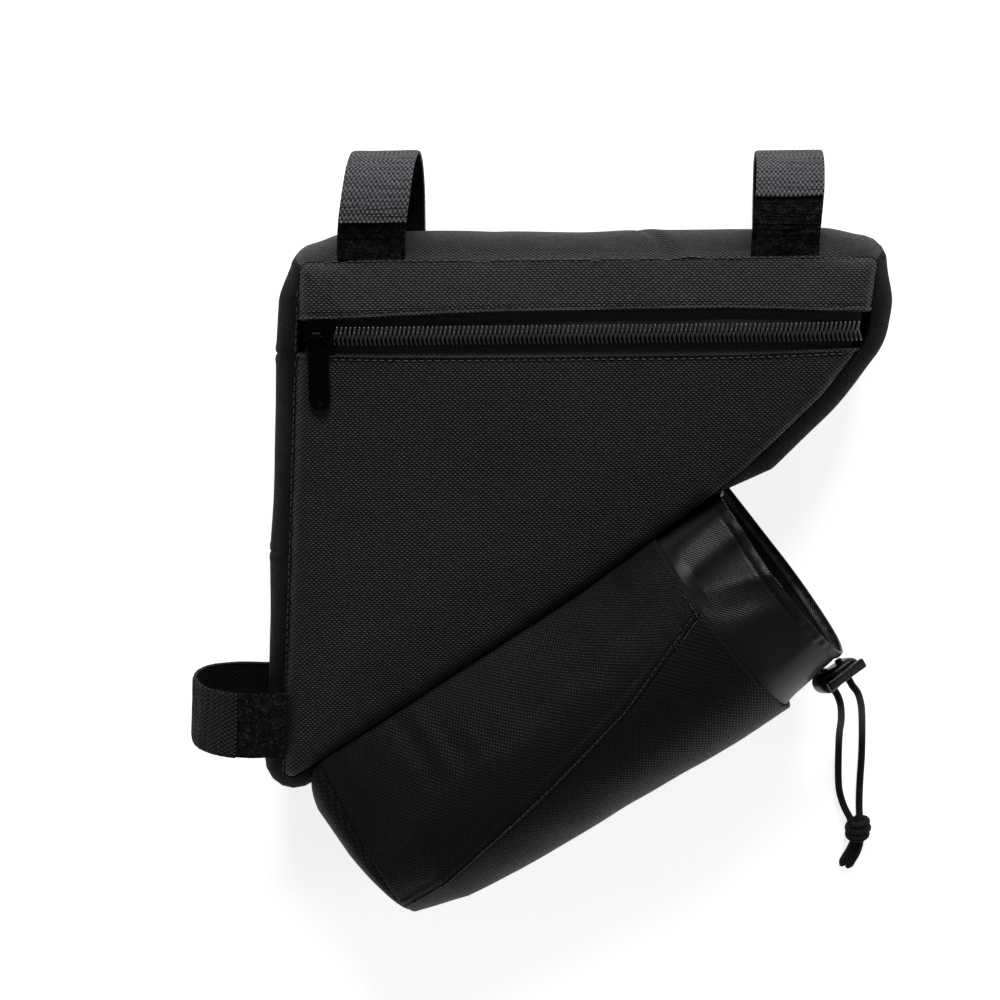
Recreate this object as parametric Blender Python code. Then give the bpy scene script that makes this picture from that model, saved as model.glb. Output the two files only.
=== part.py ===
"""A triangular bicycle frame bag with a round side pocket, lying on its back.

X runs along the bag's top edge, Y towards that edge and Z out of its front
panel. The underside of the back panel lies in the plane z = 0.
"""

import math

import bmesh
import bpy
from mathutils import Matrix, Vector

for old in list(bpy.data.objects):
    bpy.data.objects.remove(old, do_unlink=True)

# Bag body
BAG_LENGTH = 0.2120
BAG_DROP = 0.1969
BAG_DEPTH = 0.0540
BAG_LEFT = -0.0734
BAG_TOP = 0.0877
PANEL_WALL = 0.0025
BACK_WALL = 0.0025
GUSSET_WALL = 0.0020
GUSSET_BULGE = 0.0087
CORNER_FADE = 0.0160
FRONT_CROWN = 0.0050
CROWN_REACH = 0.0450
GAP = 0.0003
POINT_SPACING = 0.0110
SMOOTH_ANGLE = math.radians(35.0)

# Zip
ZIP_DROP = 0.0267
ZIP_OPENING = 0.0150
ZIP_TAPE_WIDTH = 0.0160
ZIP_TAPE_THICK = 0.0010
TAPE_PLAY = 0.0006
CHAIN_WIDTH = 0.0070
CHAIN_THICK = 0.0022
SLIDER_LENGTH = 0.0110
SLIDER_INSET = 0.0030
SLIDER_WALL = 0.0012
SLIDER_LIP = 0.0009
SLIDER_LIP_DEPTH = 0.0015
BRIDGE_LENGTH = 0.0085
BRIDGE_RADIUS = 0.0008
EYE_WALL = 0.0009
EYE_PLAY = 0.0004
EYE_WIDTH = 0.0030
PULL_LENGTH = 0.0275
PULL_WIDTH = 0.0077
PULL_THICK = 0.0016
PULL_HOLE_RADIUS = 0.0018
PULL_NECK = 0.0020

# Straps
STRAP_WIDTH = 0.0250
LOOP_REACH = 0.0380
PILE_THICK = 0.0016
HOOK_THICK = 0.0012
PILE_SHARE = 0.42

# Round pocket
POCKET_START = 0.0070
POCKET_LENGTH = 0.1615
POCKET_WIDTH = 0.0806
POCKET_HEIGHT = 0.0772
POCKET_STANDOFF = 0.0038
POCKET_WALL = 0.0015
SEAM_PLAY = 0.0007
POCKET_STEPS = 14
SIDE_STEPS = 16
ARC_STEPS = 6
FLAT_STEPS = 4
RING_STEPS = 26
END_DOME = 0.0095
END_LIFTS = (0.0, 0.45, 0.85, 1.2)
COLLAR_LENGTH = 0.0285
COLLAR_TUCK = 0.0080
COLLAR_WALL = 0.0010
COLLAR_CINCH = 0.0028
COLLAR_PLAY = 0.0006
HEM_BULGE = 0.0010

# Drawcord and its lock
CORD_DIAMETER = 0.0028
CORD_PITCH = 0.0074
CORD_PLAY = 0.0004
LOCK_LENGTH = 0.0190
LOCK_THICK = 0.0088
LOCK_HEIGHT = 0.0092
LOCK_WALL = 0.0018
LOCK_SETBACK = 0.0080
LOCK_TURN = math.radians(-8.0)
LOCK_TILT = math.radians(25.0)
PLUNGER_HEAD = 0.0022
PLUNGER_TRAVEL = 0.0025
PLUNGER_PLAY = 0.0004
PLUNGER_CHEEK = 0.0009
HEAD_INSET = 0.0004
KNOT_WIDTH = 0.0100
KNOT_SPACING = 0.0006

# Corners of the front seam, clockwise from the top left. Places are shares of
# the bag's length and drop, radii are shares of its length.
CORNERS = [
    # across, down, radius, sharp
    (0.0000, 0.0000, 0.019, True),
    (1.0000, -0.0107, 0.014, True),
    (0.9825, 0.1432, 0.066, False),
    (0.9052, 0.2524, 0.380, False),
    (0.7637, 0.4022, 0.570, False),
    (0.4877, 0.6232, 1.400, False),
    (-0.0387, 1.0000, 0.033, True),
]

# Gusset sections from the back seam to the front one.
GUSSET_LEVELS = [
    # height share, bulge share
    (0.00, 0.00),
    (0.10, 0.42),
    (0.28, 0.85),
    (0.50, 1.00),
    (0.72, 0.85),
    (0.90, 0.42),
    (1.00, 0.00),
]

# Fabric edges of the zip's opening on either side of the chain's middle line.
ZIP_EDGES = [
    # along share, above share, below share
    (0.00, 0.36, 0.42),
    (0.09, 0.40, 0.44),
    (0.29, 0.52, 0.46),
    (0.74, 0.57, 0.47),
    (1.00, 0.43, 0.40),
]

# Side view of a strap's loop, from the front seam round to the back seam.
LOOP = [
    # reach share, depth share, lean share
    (0.008, 0.966, 0.00),
    (0.15, 0.985, 0.00),
    (0.38, 1.020, 0.10),
    (0.64, 0.975, 0.32),
    (0.86, 0.830, 0.52),
    (0.97, 0.640, 0.68),
    (1.00, 0.480, 0.78),
    (0.97, 0.330, 0.86),
    (0.86, 0.175, 0.94),
    (0.62, 0.068, 1.00),
    (0.34, 0.044, 1.00),
    (0.12, 0.041, 1.00),
    (0.008, 0.041, 1.00),
]

STRAPS = [
    # name, side, place along the side, bare pile, lean
    ("top_left", "top", 0.129, 0.0147, 0.0062),
    ("top_right", "top", 0.844, 0.0226, 0.0055),
    ("seat", "seat", 0.877, 0.0181, 0.0000),
]

# Sections of the pocket from its closed end to its mouth.
POCKET_SECTIONS = [
    # along share, size share, front seam angle, back seam angle in degrees
    (0.000, 0.746, 42.0, 42.0),
    (0.128, 0.818, 54.0, 50.0),
    (0.266, 0.857, 65.0, 57.0),
    (0.464, 0.902, 76.0, 66.0),
    (0.720, 0.949, 90.0, 74.0),
    (0.915, 0.991, 107.0, 80.0),
    (1.000, 1.000, 114.0, 82.0),
]

# Sections of the collar from inside the pocket's mouth to its own hem.
COLLAR_SECTIONS = [
    # along share, cinch share, hem share
    (0.00, 0.00, 0.0),
    (0.22, 0.00, 0.0),
    (0.45, 0.45, 0.0),
    (0.70, 0.80, 0.0),
    (0.80, 0.90, 0.0),
    (0.86, 0.95, 0.9),
    (0.94, 1.00, 1.0),
    (1.00, 1.00, 0.1),
]

# Outer form of the knot and the two tails that leave it.
KNOT_SECTIONS = [
    # along share, width share, height share
    (0.00, 0.62, 0.36),
    (0.07, 0.82, 0.56),
    (0.20, 0.95, 0.66),
    (0.34, 1.00, 0.68),
    (0.46, 0.82, 0.60),
    (0.56, 0.50, 0.42),
    (0.75, 0.44, 0.33),
    (0.95, 0.42, 0.30),
    (1.00, 0.30, 0.22),
]

# The cord's free routes, from the lock's far face to the knot.
LEFT_ROUTE = [
    (0.1293, -0.0815, 0.0385),
    (0.1306, -0.0875, 0.0310),
    (0.1316, -0.0930, 0.0215),
    (0.1323, -0.0985, 0.0120),
    (0.1329, -0.1045, 0.0050),
    (0.1332, -0.1110, 0.0021),
    (0.1333, -0.1180, 0.0016),
    (0.1338, -0.1250, 0.0016),
    (0.1356, -0.1312, 0.0018),
    (0.1384, -0.1366, 0.0030),
]
RIGHT_ROUTE = [
    (0.1362, -0.0778, 0.0355),
    (0.1384, -0.0840, 0.0280),
    (0.1400, -0.0905, 0.0185),
    (0.1413, -0.0975, 0.0095),
    (0.1421, -0.1045, 0.0038),
    (0.1423, -0.1120, 0.0018),
    (0.1420, -0.1190, 0.0016),
    (0.1418, -0.1260, 0.0016),
    (0.1418, -0.1315, 0.0018),
    (0.1419, -0.1357, 0.0031),
]
KNOT_ROUTE = [
    (0.1402, -0.1370, 0.0036),
    (0.1414, -0.1420, 0.0037),
    (0.1406, -0.1475, 0.0032),
    (0.1382, -0.1525, 0.0020),
    (0.1357, -0.1578, 0.0017),
]


def material(name, colour, roughness, metallic=0.0):
    mat = bpy.data.materials.new(name)
    mat.use_nodes = True
    shader = mat.node_tree.nodes["Principled BSDF"]
    shader.inputs["Base Color"].default_value = (*colour, 1.0)
    shader.inputs["Roughness"].default_value = roughness
    shader.inputs["Metallic"].default_value = metallic
    return mat


def add_mesh(name, vertices, faces, mat):
    """Make one object from its corners and faces, with all faces pointing out."""
    mesh = bpy.data.meshes.new(name)
    mesh.from_pydata([tuple(v) for v in vertices], [], faces)
    built = bmesh.new()
    built.from_mesh(mesh)
    bmesh.ops.recalc_face_normals(built, faces=built.faces)
    built.to_mesh(mesh)
    built.free()
    obj = bpy.data.objects.new(name, mesh)
    bpy.context.scene.collection.objects.link(obj)
    mesh.materials.append(mat)
    mesh.shade_smooth()
    mesh.set_sharp_from_angle(angle=SMOOTH_ANGLE)
    return obj


def wall_from_grids(name, outer, inner, mat, closed=False):
    """A wall between two grids of rows; closed rows run round in a ring."""
    rows, columns = len(outer), len(outer[0])
    vertices = [p for row in outer for p in row] + [p for row in inner for p in row]
    shift = rows * columns
    faces = []
    spans = columns if closed else columns - 1
    for r in range(rows - 1):
        for c in range(spans):
            a = r * columns + c
            b = r * columns + (c + 1) % columns
            faces.append((a, b, b + columns, a + columns))
            faces.append((a + shift, a + columns + shift, b + columns + shift, b + shift))
    for r in (0, rows - 1):
        for c in range(spans):
            a = r * columns + c
            b = r * columns + (c + 1) % columns
            faces.append((a, b, b + shift, a + shift))
    if not closed:
        for c in (0, columns - 1):
            for r in range(rows - 1):
                a = r * columns + c
                faces.append((a, a + columns, a + columns + shift, a + shift))
    return add_mesh(name, vertices, faces, mat)


def sections_solid(name, rings, mat):
    """A solid skinned over closed rings and capped at both ends."""
    count = len(rings[0])
    vertices = [p for ring in rings for p in ring]
    faces = []
    for r in range(len(rings) - 1):
        for c in range(count):
            a = r * count + c
            b = r * count + (c + 1) % count
            faces.append((a, b, b + count, a + count))
    faces.append(tuple(range(count)))
    faces.append(tuple((len(rings) - 1) * count + c for c in range(count)))
    return add_mesh(name, vertices, faces, mat)


def table_value(table, share, column):
    """Read a column of a table between its rows, along the first column."""
    share = min(max(share, table[0][0]), table[-1][0])
    for low, high in zip(table, table[1:]):
        if share <= high[0]:
            t = (share - low[0]) / (high[0] - low[0])
            return low[column] + (high[column] - low[column]) * t
    return table[-1][column]


def smooth_path(points, steps):
    """Points on a Catmull-Rom curve through the given ones."""
    padded = [points[0] * 2 - points[1]] + points + [points[-1] * 2 - points[-2]]
    path = []
    for i in range(1, len(padded) - 2):
        p0, p1, p2, p3 = padded[i - 1:i + 3]
        for k in range(steps):
            t = k / steps
            path.append(0.5 * (
                2 * p1 + (p2 - p0) * t + (2 * p0 - 5 * p1 + 4 * p2 - p3) * t ** 2
                + (3 * p1 - p0 - 3 * p2 + p3) * t ** 3))
    path.append(points[-1].copy())
    return path


def even_path(points, spacing):
    """The same path with its points about one spacing apart."""
    lengths = [0.0]
    for a, b in zip(points, points[1:]):
        lengths.append(lengths[-1] + (b - a).length)
    count = max(2, round(lengths[-1] / spacing))
    path = []
    k = 0
    for i in range(count + 1):
        target = lengths[-1] * i / count
        while k < len(points) - 2 and lengths[k + 1] < target:
            k += 1
        t = (target - lengths[k]) / (lengths[k + 1] - lengths[k])
        path.append(points[k].lerp(points[k + 1], min(t, 1.0)))
    return path


def corner_point(index):
    across, down = CORNERS[index % len(CORNERS)][:2]
    return Vector((BAG_LEFT + across * BAG_LENGTH, BAG_TOP - down * BAG_DROP))


def outward(direction):
    """The outward normal of a clockwise outline."""
    return Vector((-direction.y, direction.x))


def seam_outline():
    """The front seam as (place, outward normal) pairs, clockwise."""
    count = len(CORNERS)
    arcs = []
    for i in range(count):
        here = corner_point(i)
        before = (here - corner_point(i - 1)).normalized()
        after = (corner_point(i + 1) - here).normalized()
        turn = before.angle(after)
        radius = CORNERS[i][2] * BAG_LENGTH
        start = here - before * radius * math.tan(turn / 2)
        centre = start - outward(before) * radius
        steps = max(2, math.ceil(turn / math.radians(22)))
        arc = []
        for k in range(steps + 1):
            normal = outward(before)
            normal.rotate(Matrix.Rotation(-turn * k / steps, 2))
            arc.append((centre + normal * radius, normal))
        arcs.append(arc)
    outline = []
    for i in range(count):
        outline += arcs[i]
        start, normal = arcs[i][-1]
        end = arcs[(i + 1) % count][0][0]
        steps = max(1, round((end - start).length / POINT_SPACING))
        for k in range(1, steps):
            outline.append((start.lerp(end, k / steps), normal))
    return outline


OUTLINE = seam_outline()
TOP_SLOPE = (corner_point(1) - corner_point(0)).normalized()
SEAT_SLOPE = (corner_point(-1) - corner_point(0)).normalized()
LOW_CORNER = corner_point(-1)
SLOPE_DIRECTION = (corner_point(2) - LOW_CORNER).normalized()
SLOPE_NORMAL = -outward(SLOPE_DIRECTION)


def along_slope(point):
    return (point - LOW_CORNER).dot(SLOPE_DIRECTION)


def beyond_slope(point):
    return (point - LOW_CORNER).dot(SLOPE_NORMAL)


POCKET_LINE = max(beyond_slope(point) for point, _ in OUTLINE) + POCKET_STANDOFF
COLLAR_END = POCKET_START + POCKET_LENGTH + COLLAR_LENGTH


def clip_row(y):
    """Left and right places of the seam on a level line."""
    hits = []
    for (a, _), (b, _) in zip(OUTLINE, OUTLINE[1:] + OUTLINE[:1]):
        if (a.y - y) * (b.y - y) <= 0 and a.y != b.y:
            hits.append(a.x + (b.x - a.x) * (y - a.y) / (b.y - a.y))
    return (min(hits), max(hits)) if hits else (0.0, 0.0)


def top_edge(x):
    start = corner_point(0)
    return start.y + (x - start.x) * TOP_SLOPE.y / TOP_SLOPE.x


def zip_axis(x):
    return top_edge(x) - ZIP_DROP


def zip_edge(x, upper):
    share = (x - BAG_LEFT) / BAG_LENGTH
    if upper:
        return zip_axis(x) + ZIP_OPENING * table_value(ZIP_EDGES, share, 1)
    return zip_axis(x) - ZIP_OPENING * table_value(ZIP_EDGES, share, 2)


def seam_distance(point):
    best = BAG_LENGTH
    for (a, _), (b, _) in zip(OUTLINE, OUTLINE[1:] + OUTLINE[:1]):
        edge = b - a
        t = min(max((point - a).dot(edge) / edge.length_squared, 0.0), 1.0)
        best = min(best, (point - a - edge * t).length)
    return best


def front_height(x, y):
    """Height of the front panels' outer face."""
    near = min(seam_distance(Vector((x, y))) / CROWN_REACH, 1.0)
    return BAG_DEPTH + FRONT_CROWN * (1 - (1 - near) ** 2)


def gusset_bulge(point):
    """How far the gusset stands out beyond the seam at half its depth."""
    sharp = [corner_point(i) for i, row in enumerate(CORNERS) if row[3]]
    near = min(min((point - c).length for c in sharp) / CORNER_FADE, 1.0)
    share = 0.2 + 0.8 * near * near * (3 - 2 * near)
    room = POCKET_LINE - GAP - beyond_slope(point)
    room += 0.3 * max(0.0, along_slope(point) - COLLAR_END)
    return min(GUSSET_BULGE * share, room)


def make_gusset(mat):
    low = BACK_WALL + GAP
    high = BAG_DEPTH - PANEL_WALL - GAP
    outer, inner = [], []
    for height, bulge in GUSSET_LEVELS:
        z = low + (high - low) * height
        outer_row, inner_row = [], []
        for point, normal in OUTLINE:
            out = point + normal * gusset_bulge(point) * bulge
            wall = out - normal * GUSSET_WALL
            outer_row.append((out.x, out.y, z))
            inner_row.append((wall.x, wall.y, z))
        outer.append(outer_row)
        inner.append(inner_row)
    return wall_from_grids("gusset", outer, inner, mat, closed=True)


def make_back_panel(mat):
    rings = [[(p.x, p.y, z) for p, _ in OUTLINE] for z in (0.0, BACK_WALL)]
    return sections_solid("back_panel", rings, mat)


def front_patch(low_edge, high_edge, columns, rows):
    """Places of a front panel on a grid that fills the seam's outline."""
    grid = []
    for r in range(rows + 1):
        row = []
        for c in range(columns + 1):
            x, y = 0.0, 0.0
            for _ in range(8):
                y = low_edge(x) + (high_edge(x) - low_edge(x)) * r / rows
                left, right = clip_row(y)
                x = left + (right - left) * c / columns
            row.append(Vector((x, y)))
        grid.append(row)
    return grid


def make_front_panel(name, low_edge, high_edge, columns, rows, mat):
    places = front_patch(low_edge, high_edge, columns, rows)
    outer = [[(p.x, p.y, front_height(p.x, p.y)) for p in row] for row in places]
    inner = [[(x, y, z - PANEL_WALL) for x, y, z in row] for row in outer]
    return wall_from_grids(name, outer, inner, mat)


def zip_strip(name, low_offset, high_offset, inset, floor_drop, thick, mat):
    """A strip along the zip's middle line that follows the panels' crown."""
    columns = 16
    outer, inner = [], []
    for offset in (low_offset, (low_offset + high_offset) / 2, high_offset):
        outer_row, inner_row = [], []
        for c in range(columns + 1):
            x = 0.0
            for _ in range(6):
                left, right = clip_row(zip_axis(x) + offset)
                x = left + inset + (right - left - 2 * inset) * c / columns
            y = zip_axis(x) + offset
            base = front_height(x, y) - floor_drop
            outer_row.append((x, y, base + thick))
            inner_row.append((x, y, base))
        outer.append(outer_row)
        inner.append(inner_row)
    return wall_from_grids(name, outer, inner, mat)


def make_zip(tape_mat, coil_mat):
    tape_drop = PANEL_WALL + TAPE_PLAY + ZIP_TAPE_THICK
    inset = 2 * (GUSSET_WALL + GAP)
    zip_strip("zip_tape_upper", GAP / 2, ZIP_TAPE_WIDTH, inset, tape_drop,
              ZIP_TAPE_THICK, tape_mat)
    zip_strip("zip_tape_lower", -ZIP_TAPE_WIDTH, -GAP / 2, inset, tape_drop,
              ZIP_TAPE_THICK, tape_mat)
    chain_drop = PANEL_WALL
    zip_strip("zip_coil", -CHAIN_WIDTH / 2, CHAIN_WIDTH / 2, GAP, chain_drop,
              CHAIN_THICK, coil_mat)


def add_box(size, place):
    bpy.ops.mesh.primitive_cube_add(size=1.0)
    box = bpy.context.active_object
    box.data.transform(Matrix.Translation(place) @ Matrix.Diagonal((*size, 1.0)))
    return box


def add_rod(radius, length, place, axis, sides=16):
    """A cylinder along the named axis, with its place in its mesh."""
    bpy.ops.mesh.primitive_cylinder_add(vertices=sides, radius=radius, depth=length)
    rod = bpy.context.active_object
    turns = {"X": Matrix.Rotation(math.pi / 2, 4, "Y"), "Y": Matrix.Rotation(math.pi / 2, 4, "X"),
             "Z": Matrix.Identity(4)}
    rod.data.transform(Matrix.Translation(place) @ turns[axis])
    return rod


def combine(target, tool, operation):
    """Join or cut with a helper solid, which is then removed."""
    modifier = target.modifiers.new(operation.lower(), "BOOLEAN")
    modifier.operation = operation
    modifier.solver = "EXACT"
    modifier.object = tool
    bpy.context.view_layer.objects.active = target
    bpy.ops.object.modifier_apply(modifier=modifier.name)
    bpy.data.objects.remove(tool, do_unlink=True)


def finish(obj, name, mat):
    obj.name = name
    obj.data.name = name
    obj.data.materials.clear()
    obj.data.materials.append(mat)
    obj.data.shade_smooth()
    obj.data.set_sharp_from_angle(angle=SMOOTH_ANGLE)
    return obj


def chain_top(x):
    y = zip_axis(x)
    return Vector((x, y, front_height(x, y) - PANEL_WALL + CHAIN_THICK))


def slider_frame():
    """The slider's own axes: x along the chain, z out of it."""
    left, _ = clip_row(corner_point(0).y - ZIP_DROP)
    middle = left + SLIDER_INSET + SLIDER_LENGTH / 2
    tail = chain_top(middle - SLIDER_LENGTH / 2)
    nose = chain_top(middle + SLIDER_LENGTH / 2)
    ahead = (nose - tail).normalized()
    out = ahead.cross(Vector((0, 1, 0))).normalized()
    across = out.cross(ahead)
    turn = Matrix((ahead, across, out)).transposed().to_4x4()
    return Matrix.Translation(chain_top(middle)) @ turn


BRIDGE_RISE = BRIDGE_RADIUS + EYE_PLAY + EYE_WALL + GAP
BRIDGE_HEIGHT = GAP + SLIDER_WALL + BRIDGE_RISE


def make_slider(mat):
    plate_top = GAP + SLIDER_WALL
    half_width = CHAIN_WIDTH / 2 + GAP + SLIDER_LIP
    slider = add_box((SLIDER_LENGTH, 2 * half_width, SLIDER_WALL),
                     (0, 0, plate_top - SLIDER_WALL / 2))
    lip_height = SLIDER_WALL + GAP + SLIDER_LIP_DEPTH
    for side in (-1, 1):
        lip = add_box((SLIDER_LENGTH, SLIDER_LIP, lip_height),
                      (0, side * (half_width - SLIDER_LIP / 2), plate_top - lip_height / 2))
        combine(slider, lip, "UNION")
    leg_height = BRIDGE_RISE + BRIDGE_RADIUS + SLIDER_WALL / 2
    for side in (-1, 1):
        x = side * (BRIDGE_LENGTH / 2 - BRIDGE_RADIUS)
        leg = add_box((2 * BRIDGE_RADIUS, 4 * BRIDGE_RADIUS, leg_height),
                      (x, 0, plate_top - SLIDER_WALL / 2 + leg_height / 2))
        combine(slider, leg, "UNION")
    rod = add_rod(BRIDGE_RADIUS, BRIDGE_LENGTH - 3 * BRIDGE_RADIUS, (0, 0, BRIDGE_HEIGHT),
                  "X", sides=10)
    combine(slider, rod, "UNION")
    slider.matrix_world = slider_frame()
    return finish(slider, "zip_slider", mat)


def pull_sag(frame, eye_radius):
    """How far the pull turns down before it lies on the panel below the zip."""
    angles = []
    for half in (-0.5, 0.0, 0.5):
        for share in (0.5, 0.75, 1.0):
            reach = PULL_LENGTH * share
            over = frame @ Vector((half * PULL_WIDTH, -reach, BRIDGE_HEIGHT - eye_radius))
            room = over.z - GAP - front_height(over.x, over.y)
            angles.append(math.atan2(room, reach))
    return min(angles)


def make_pull(mat):
    """The pull hangs from an eye round the bridge bar and lies on the panel."""
    frame = slider_frame()
    eye_radius = BRIDGE_RADIUS + EYE_PLAY + EYE_WALL
    hinge = bpy.data.objects.new("pull_hinge", None)
    bpy.context.scene.collection.objects.link(hinge)
    sag = Matrix.Rotation(pull_sag(frame, eye_radius), 4, "X")
    hinge.matrix_world = frame @ Matrix.Translation((0, 0, BRIDGE_HEIGHT)) @ sag
    hinge.empty_display_size = 0.005
    bpy.context.view_layer.update()

    neck = eye_radius + PULL_NECK
    tab_length = PULL_LENGTH - neck - PULL_WIDTH / 2
    pull = add_rod(eye_radius, EYE_WIDTH, (0, 0, 0), "X", sides=16)
    drop = -eye_radius + PULL_THICK / 2
    neck_box = add_box((EYE_WIDTH, neck, PULL_THICK), (0, -eye_radius / 2 - neck / 2, drop))
    combine(pull, neck_box, "UNION")
    tab = add_box((PULL_WIDTH, tab_length, PULL_THICK), (0, -neck - tab_length / 2, drop))
    combine(pull, tab, "UNION")
    tip = add_rod(PULL_WIDTH / 2, PULL_THICK, (0, -neck - tab_length, drop), "Z", sides=24)
    combine(pull, tip, "UNION")
    hole = add_rod(PULL_HOLE_RADIUS, PULL_THICK * 2, (0, -neck - tab_length, drop),
                   "Z", sides=12)
    combine(pull, hole, "DIFFERENCE")
    bore = add_rod(BRIDGE_RADIUS + EYE_PLAY, EYE_WIDTH * 2, (0, 0, 0), "X", sides=12)
    combine(pull, bore, "DIFFERENCE")
    pull.parent = hinge
    return finish(pull, "zip_pull", mat)


def loop_path():
    """The loop's middle line as (reach, height, lean share) vectors."""
    knots = [Vector((r * LOOP_REACH, h * BAG_DEPTH, lean)) for r, h, lean in LOOP]
    return smooth_path(knots, 3)


def path_beyond(path, reach):
    """The loop from the place where its front run has one reach."""
    for i in range(len(path) - 1):
        if path[i].x <= reach < path[i + 1].x:
            t = (reach - path[i].x) / (path[i + 1].x - path[i].x)
            return [path[i].lerp(path[i + 1], t)] + path[i + 1:]
    return path


def tape(name, base, along, out, path, lean, near, far, mat):
    """A tape between two offsets from the loop's line, outwards positive."""
    outer, inner = [], []
    for i, place in enumerate(path):
        before = path[max(i - 1, 0)]
        after = path[min(i + 1, len(path) - 1)]
        tangent = Vector((after.x - before.x, after.y - before.y)).normalized()
        normal = Vector((-tangent.y, tangent.x))
        rows = ([], [])
        for half in (-0.5, 0.5):
            shift = along * (half * STRAP_WIDTH + lean * place.z)
            for offset, row in zip((far, near), rows):
                reach = max(place.x + normal.x * offset, GAP)
                height = place.y + normal.y * offset
                flat = base + shift + out * reach
                row.append((flat.x, flat.y, height))
        outer.append(rows[0])
        inner.append(rows[1])
    return wall_from_grids(name, outer, inner, mat)


def make_strap(name, side, share, bare_pile, lean, pile_mat, hook_mat):
    top_left = corner_point(0)
    if side == "top":
        along, end = TOP_SLOPE, corner_point(1)
        out = outward(TOP_SLOPE)
    else:
        along, end = -SEAT_SLOPE, corner_point(-1)
        out = outward(-SEAT_SLOPE)
    base = top_left.lerp(end, share)
    path = loop_path()
    pile_end = round(PILE_SHARE * len(path))
    tape(f"strap_{name}_pile", base, along, out, path[:pile_end], lean,
         -GAP / 2 - PILE_THICK, -GAP / 2, pile_mat)
    tape(f"strap_{name}_hook", base, along, out, path_beyond(path, bare_pile), lean,
         GAP / 2, GAP / 2 + HOOK_THICK, hook_mat)


def pocket_half(along):
    """Half the pocket's width and height at a distance along the slope."""
    share = (along - POCKET_START) / POCKET_LENGTH
    size = table_value(POCKET_SECTIONS, share, 1)
    return POCKET_WIDTH / 2 * size, POCKET_HEIGHT / 2 * size


def pocket_tilt():
    first = pocket_half(POCKET_START)[1]
    last = pocket_half(POCKET_START + POCKET_LENGTH)[1]
    return math.atan2(last - first, POCKET_LENGTH)


def leaning(along, height):
    """Distance along the slope on the tilted plane of a ring."""
    return along - math.tan(pocket_tilt()) * (height - pocket_half(along)[1])


def ring_place(along, reach, height):
    """A place on the pocket's ring at a distance along the slope."""
    flat = LOW_CORNER + SLOPE_DIRECTION * leaning(along, height) + SLOPE_NORMAL * reach
    return Vector((flat.x, flat.y, height))


def gusset_face(along, height):
    """Reach of the gusset's outer face where a ring's plane meets it."""
    along = leaning(along, height)
    low = BACK_WALL + GAP
    high = BAG_DEPTH - PANEL_WALL - GAP
    share = table_value(GUSSET_LEVELS, (height - low) / (high - low), 1)
    places = [point + normal * gusset_bulge(point) * share for point, normal in OUTLINE]
    best = 0.0
    for a, b in zip(places, places[1:] + places[:1]):
        start, end = along_slope(a), along_slope(b)
        if min(start, end) <= along <= max(start, end) and start != end:
            t = (along - start) / (end - start)
            best = max(best, beyond_slope(a.lerp(b, t)))
    return best


def tangent_angle(along, reach, height, width, tall):
    """Where a line from a point beside the bag first touches the pocket's ring."""
    centre = POCKET_LINE + pocket_half(along)[0]
    dx = reach - centre
    dy = (height - pocket_half(along)[1]) * width / tall
    spread = math.acos(min(1.0, width / math.hypot(dx, dy)))
    toward = math.atan2(dy, dx) % (2 * math.pi)
    return toward - spread if dy > 0 else toward + spread


def pocket_run(along, inset, start, upper):
    """Ring places from an angle round to the bag's seam, front or back."""
    width, tall = pocket_half(along)
    centre_reach, centre_height = POCKET_LINE + width, tall
    width, tall = width - inset, tall - inset
    height = BAG_DEPTH - PANEL_WALL - inset if upper else GAP + inset
    reach = gusset_face(along, height) + SEAM_PLAY
    end = tangent_angle(along, reach, height, width, tall)
    run = []
    for k in range(ARC_STEPS + 1):
        angle = start + (end - start) * k / ARC_STEPS
        run.append((centre_reach + width * math.cos(angle),
                    centre_height + tall * math.sin(angle)))
    touch = run[-1]
    for k in range(1, FLAT_STEPS + 1):
        t = k / FLAT_STEPS
        run.append((touch[0] + (reach - touch[0]) * t, touch[1] + (height - touch[1]) * t))
    return [ring_place(along, q, z) for q, z in run]


def pocket_stations():
    return [POCKET_START + POCKET_LENGTH * k / POCKET_STEPS for k in range(POCKET_STEPS + 1)]


def seam_angle(along, upper):
    share = (along - POCKET_START) / POCKET_LENGTH
    if upper:
        return math.radians(table_value(POCKET_SECTIONS, share, 2))
    return 2 * math.pi - math.radians(table_value(POCKET_SECTIONS, share, 3))


def make_pocket(mat):
    for name, upper in (("pocket_front_panel", True), ("pocket_back_panel", False)):
        grids = []
        for inset in (0.0, POCKET_WALL):
            rows = []
            for along in pocket_stations():
                play = GAP / 2 / pocket_half(along)[0]
                start = seam_angle(along, upper) + (play if upper else -play)
                rows.append(pocket_run(along, inset, start, upper))
            grids.append(rows)
        wall_from_grids(name, grids[0], grids[1], mat)
    grids = []
    for inset in (0.0, POCKET_WALL):
        rows = []
        for along in pocket_stations():
            width, tall = pocket_half(along)
            play = GAP / 2 / width
            first = seam_angle(along, False) - 2 * math.pi + play
            last = seam_angle(along, True) - play
            row = []
            for k in range(SIDE_STEPS + 1):
                angle = first + (last - first) * k / SIDE_STEPS
                row.append(ring_place(along, POCKET_LINE + width + (width - inset) * math.cos(angle),
                                      tall + (tall - inset) * math.sin(angle)))
            rows.append(row)
        grids.append(rows)
    wall_from_grids("pocket_side_panel", grids[0], grids[1], mat)


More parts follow.
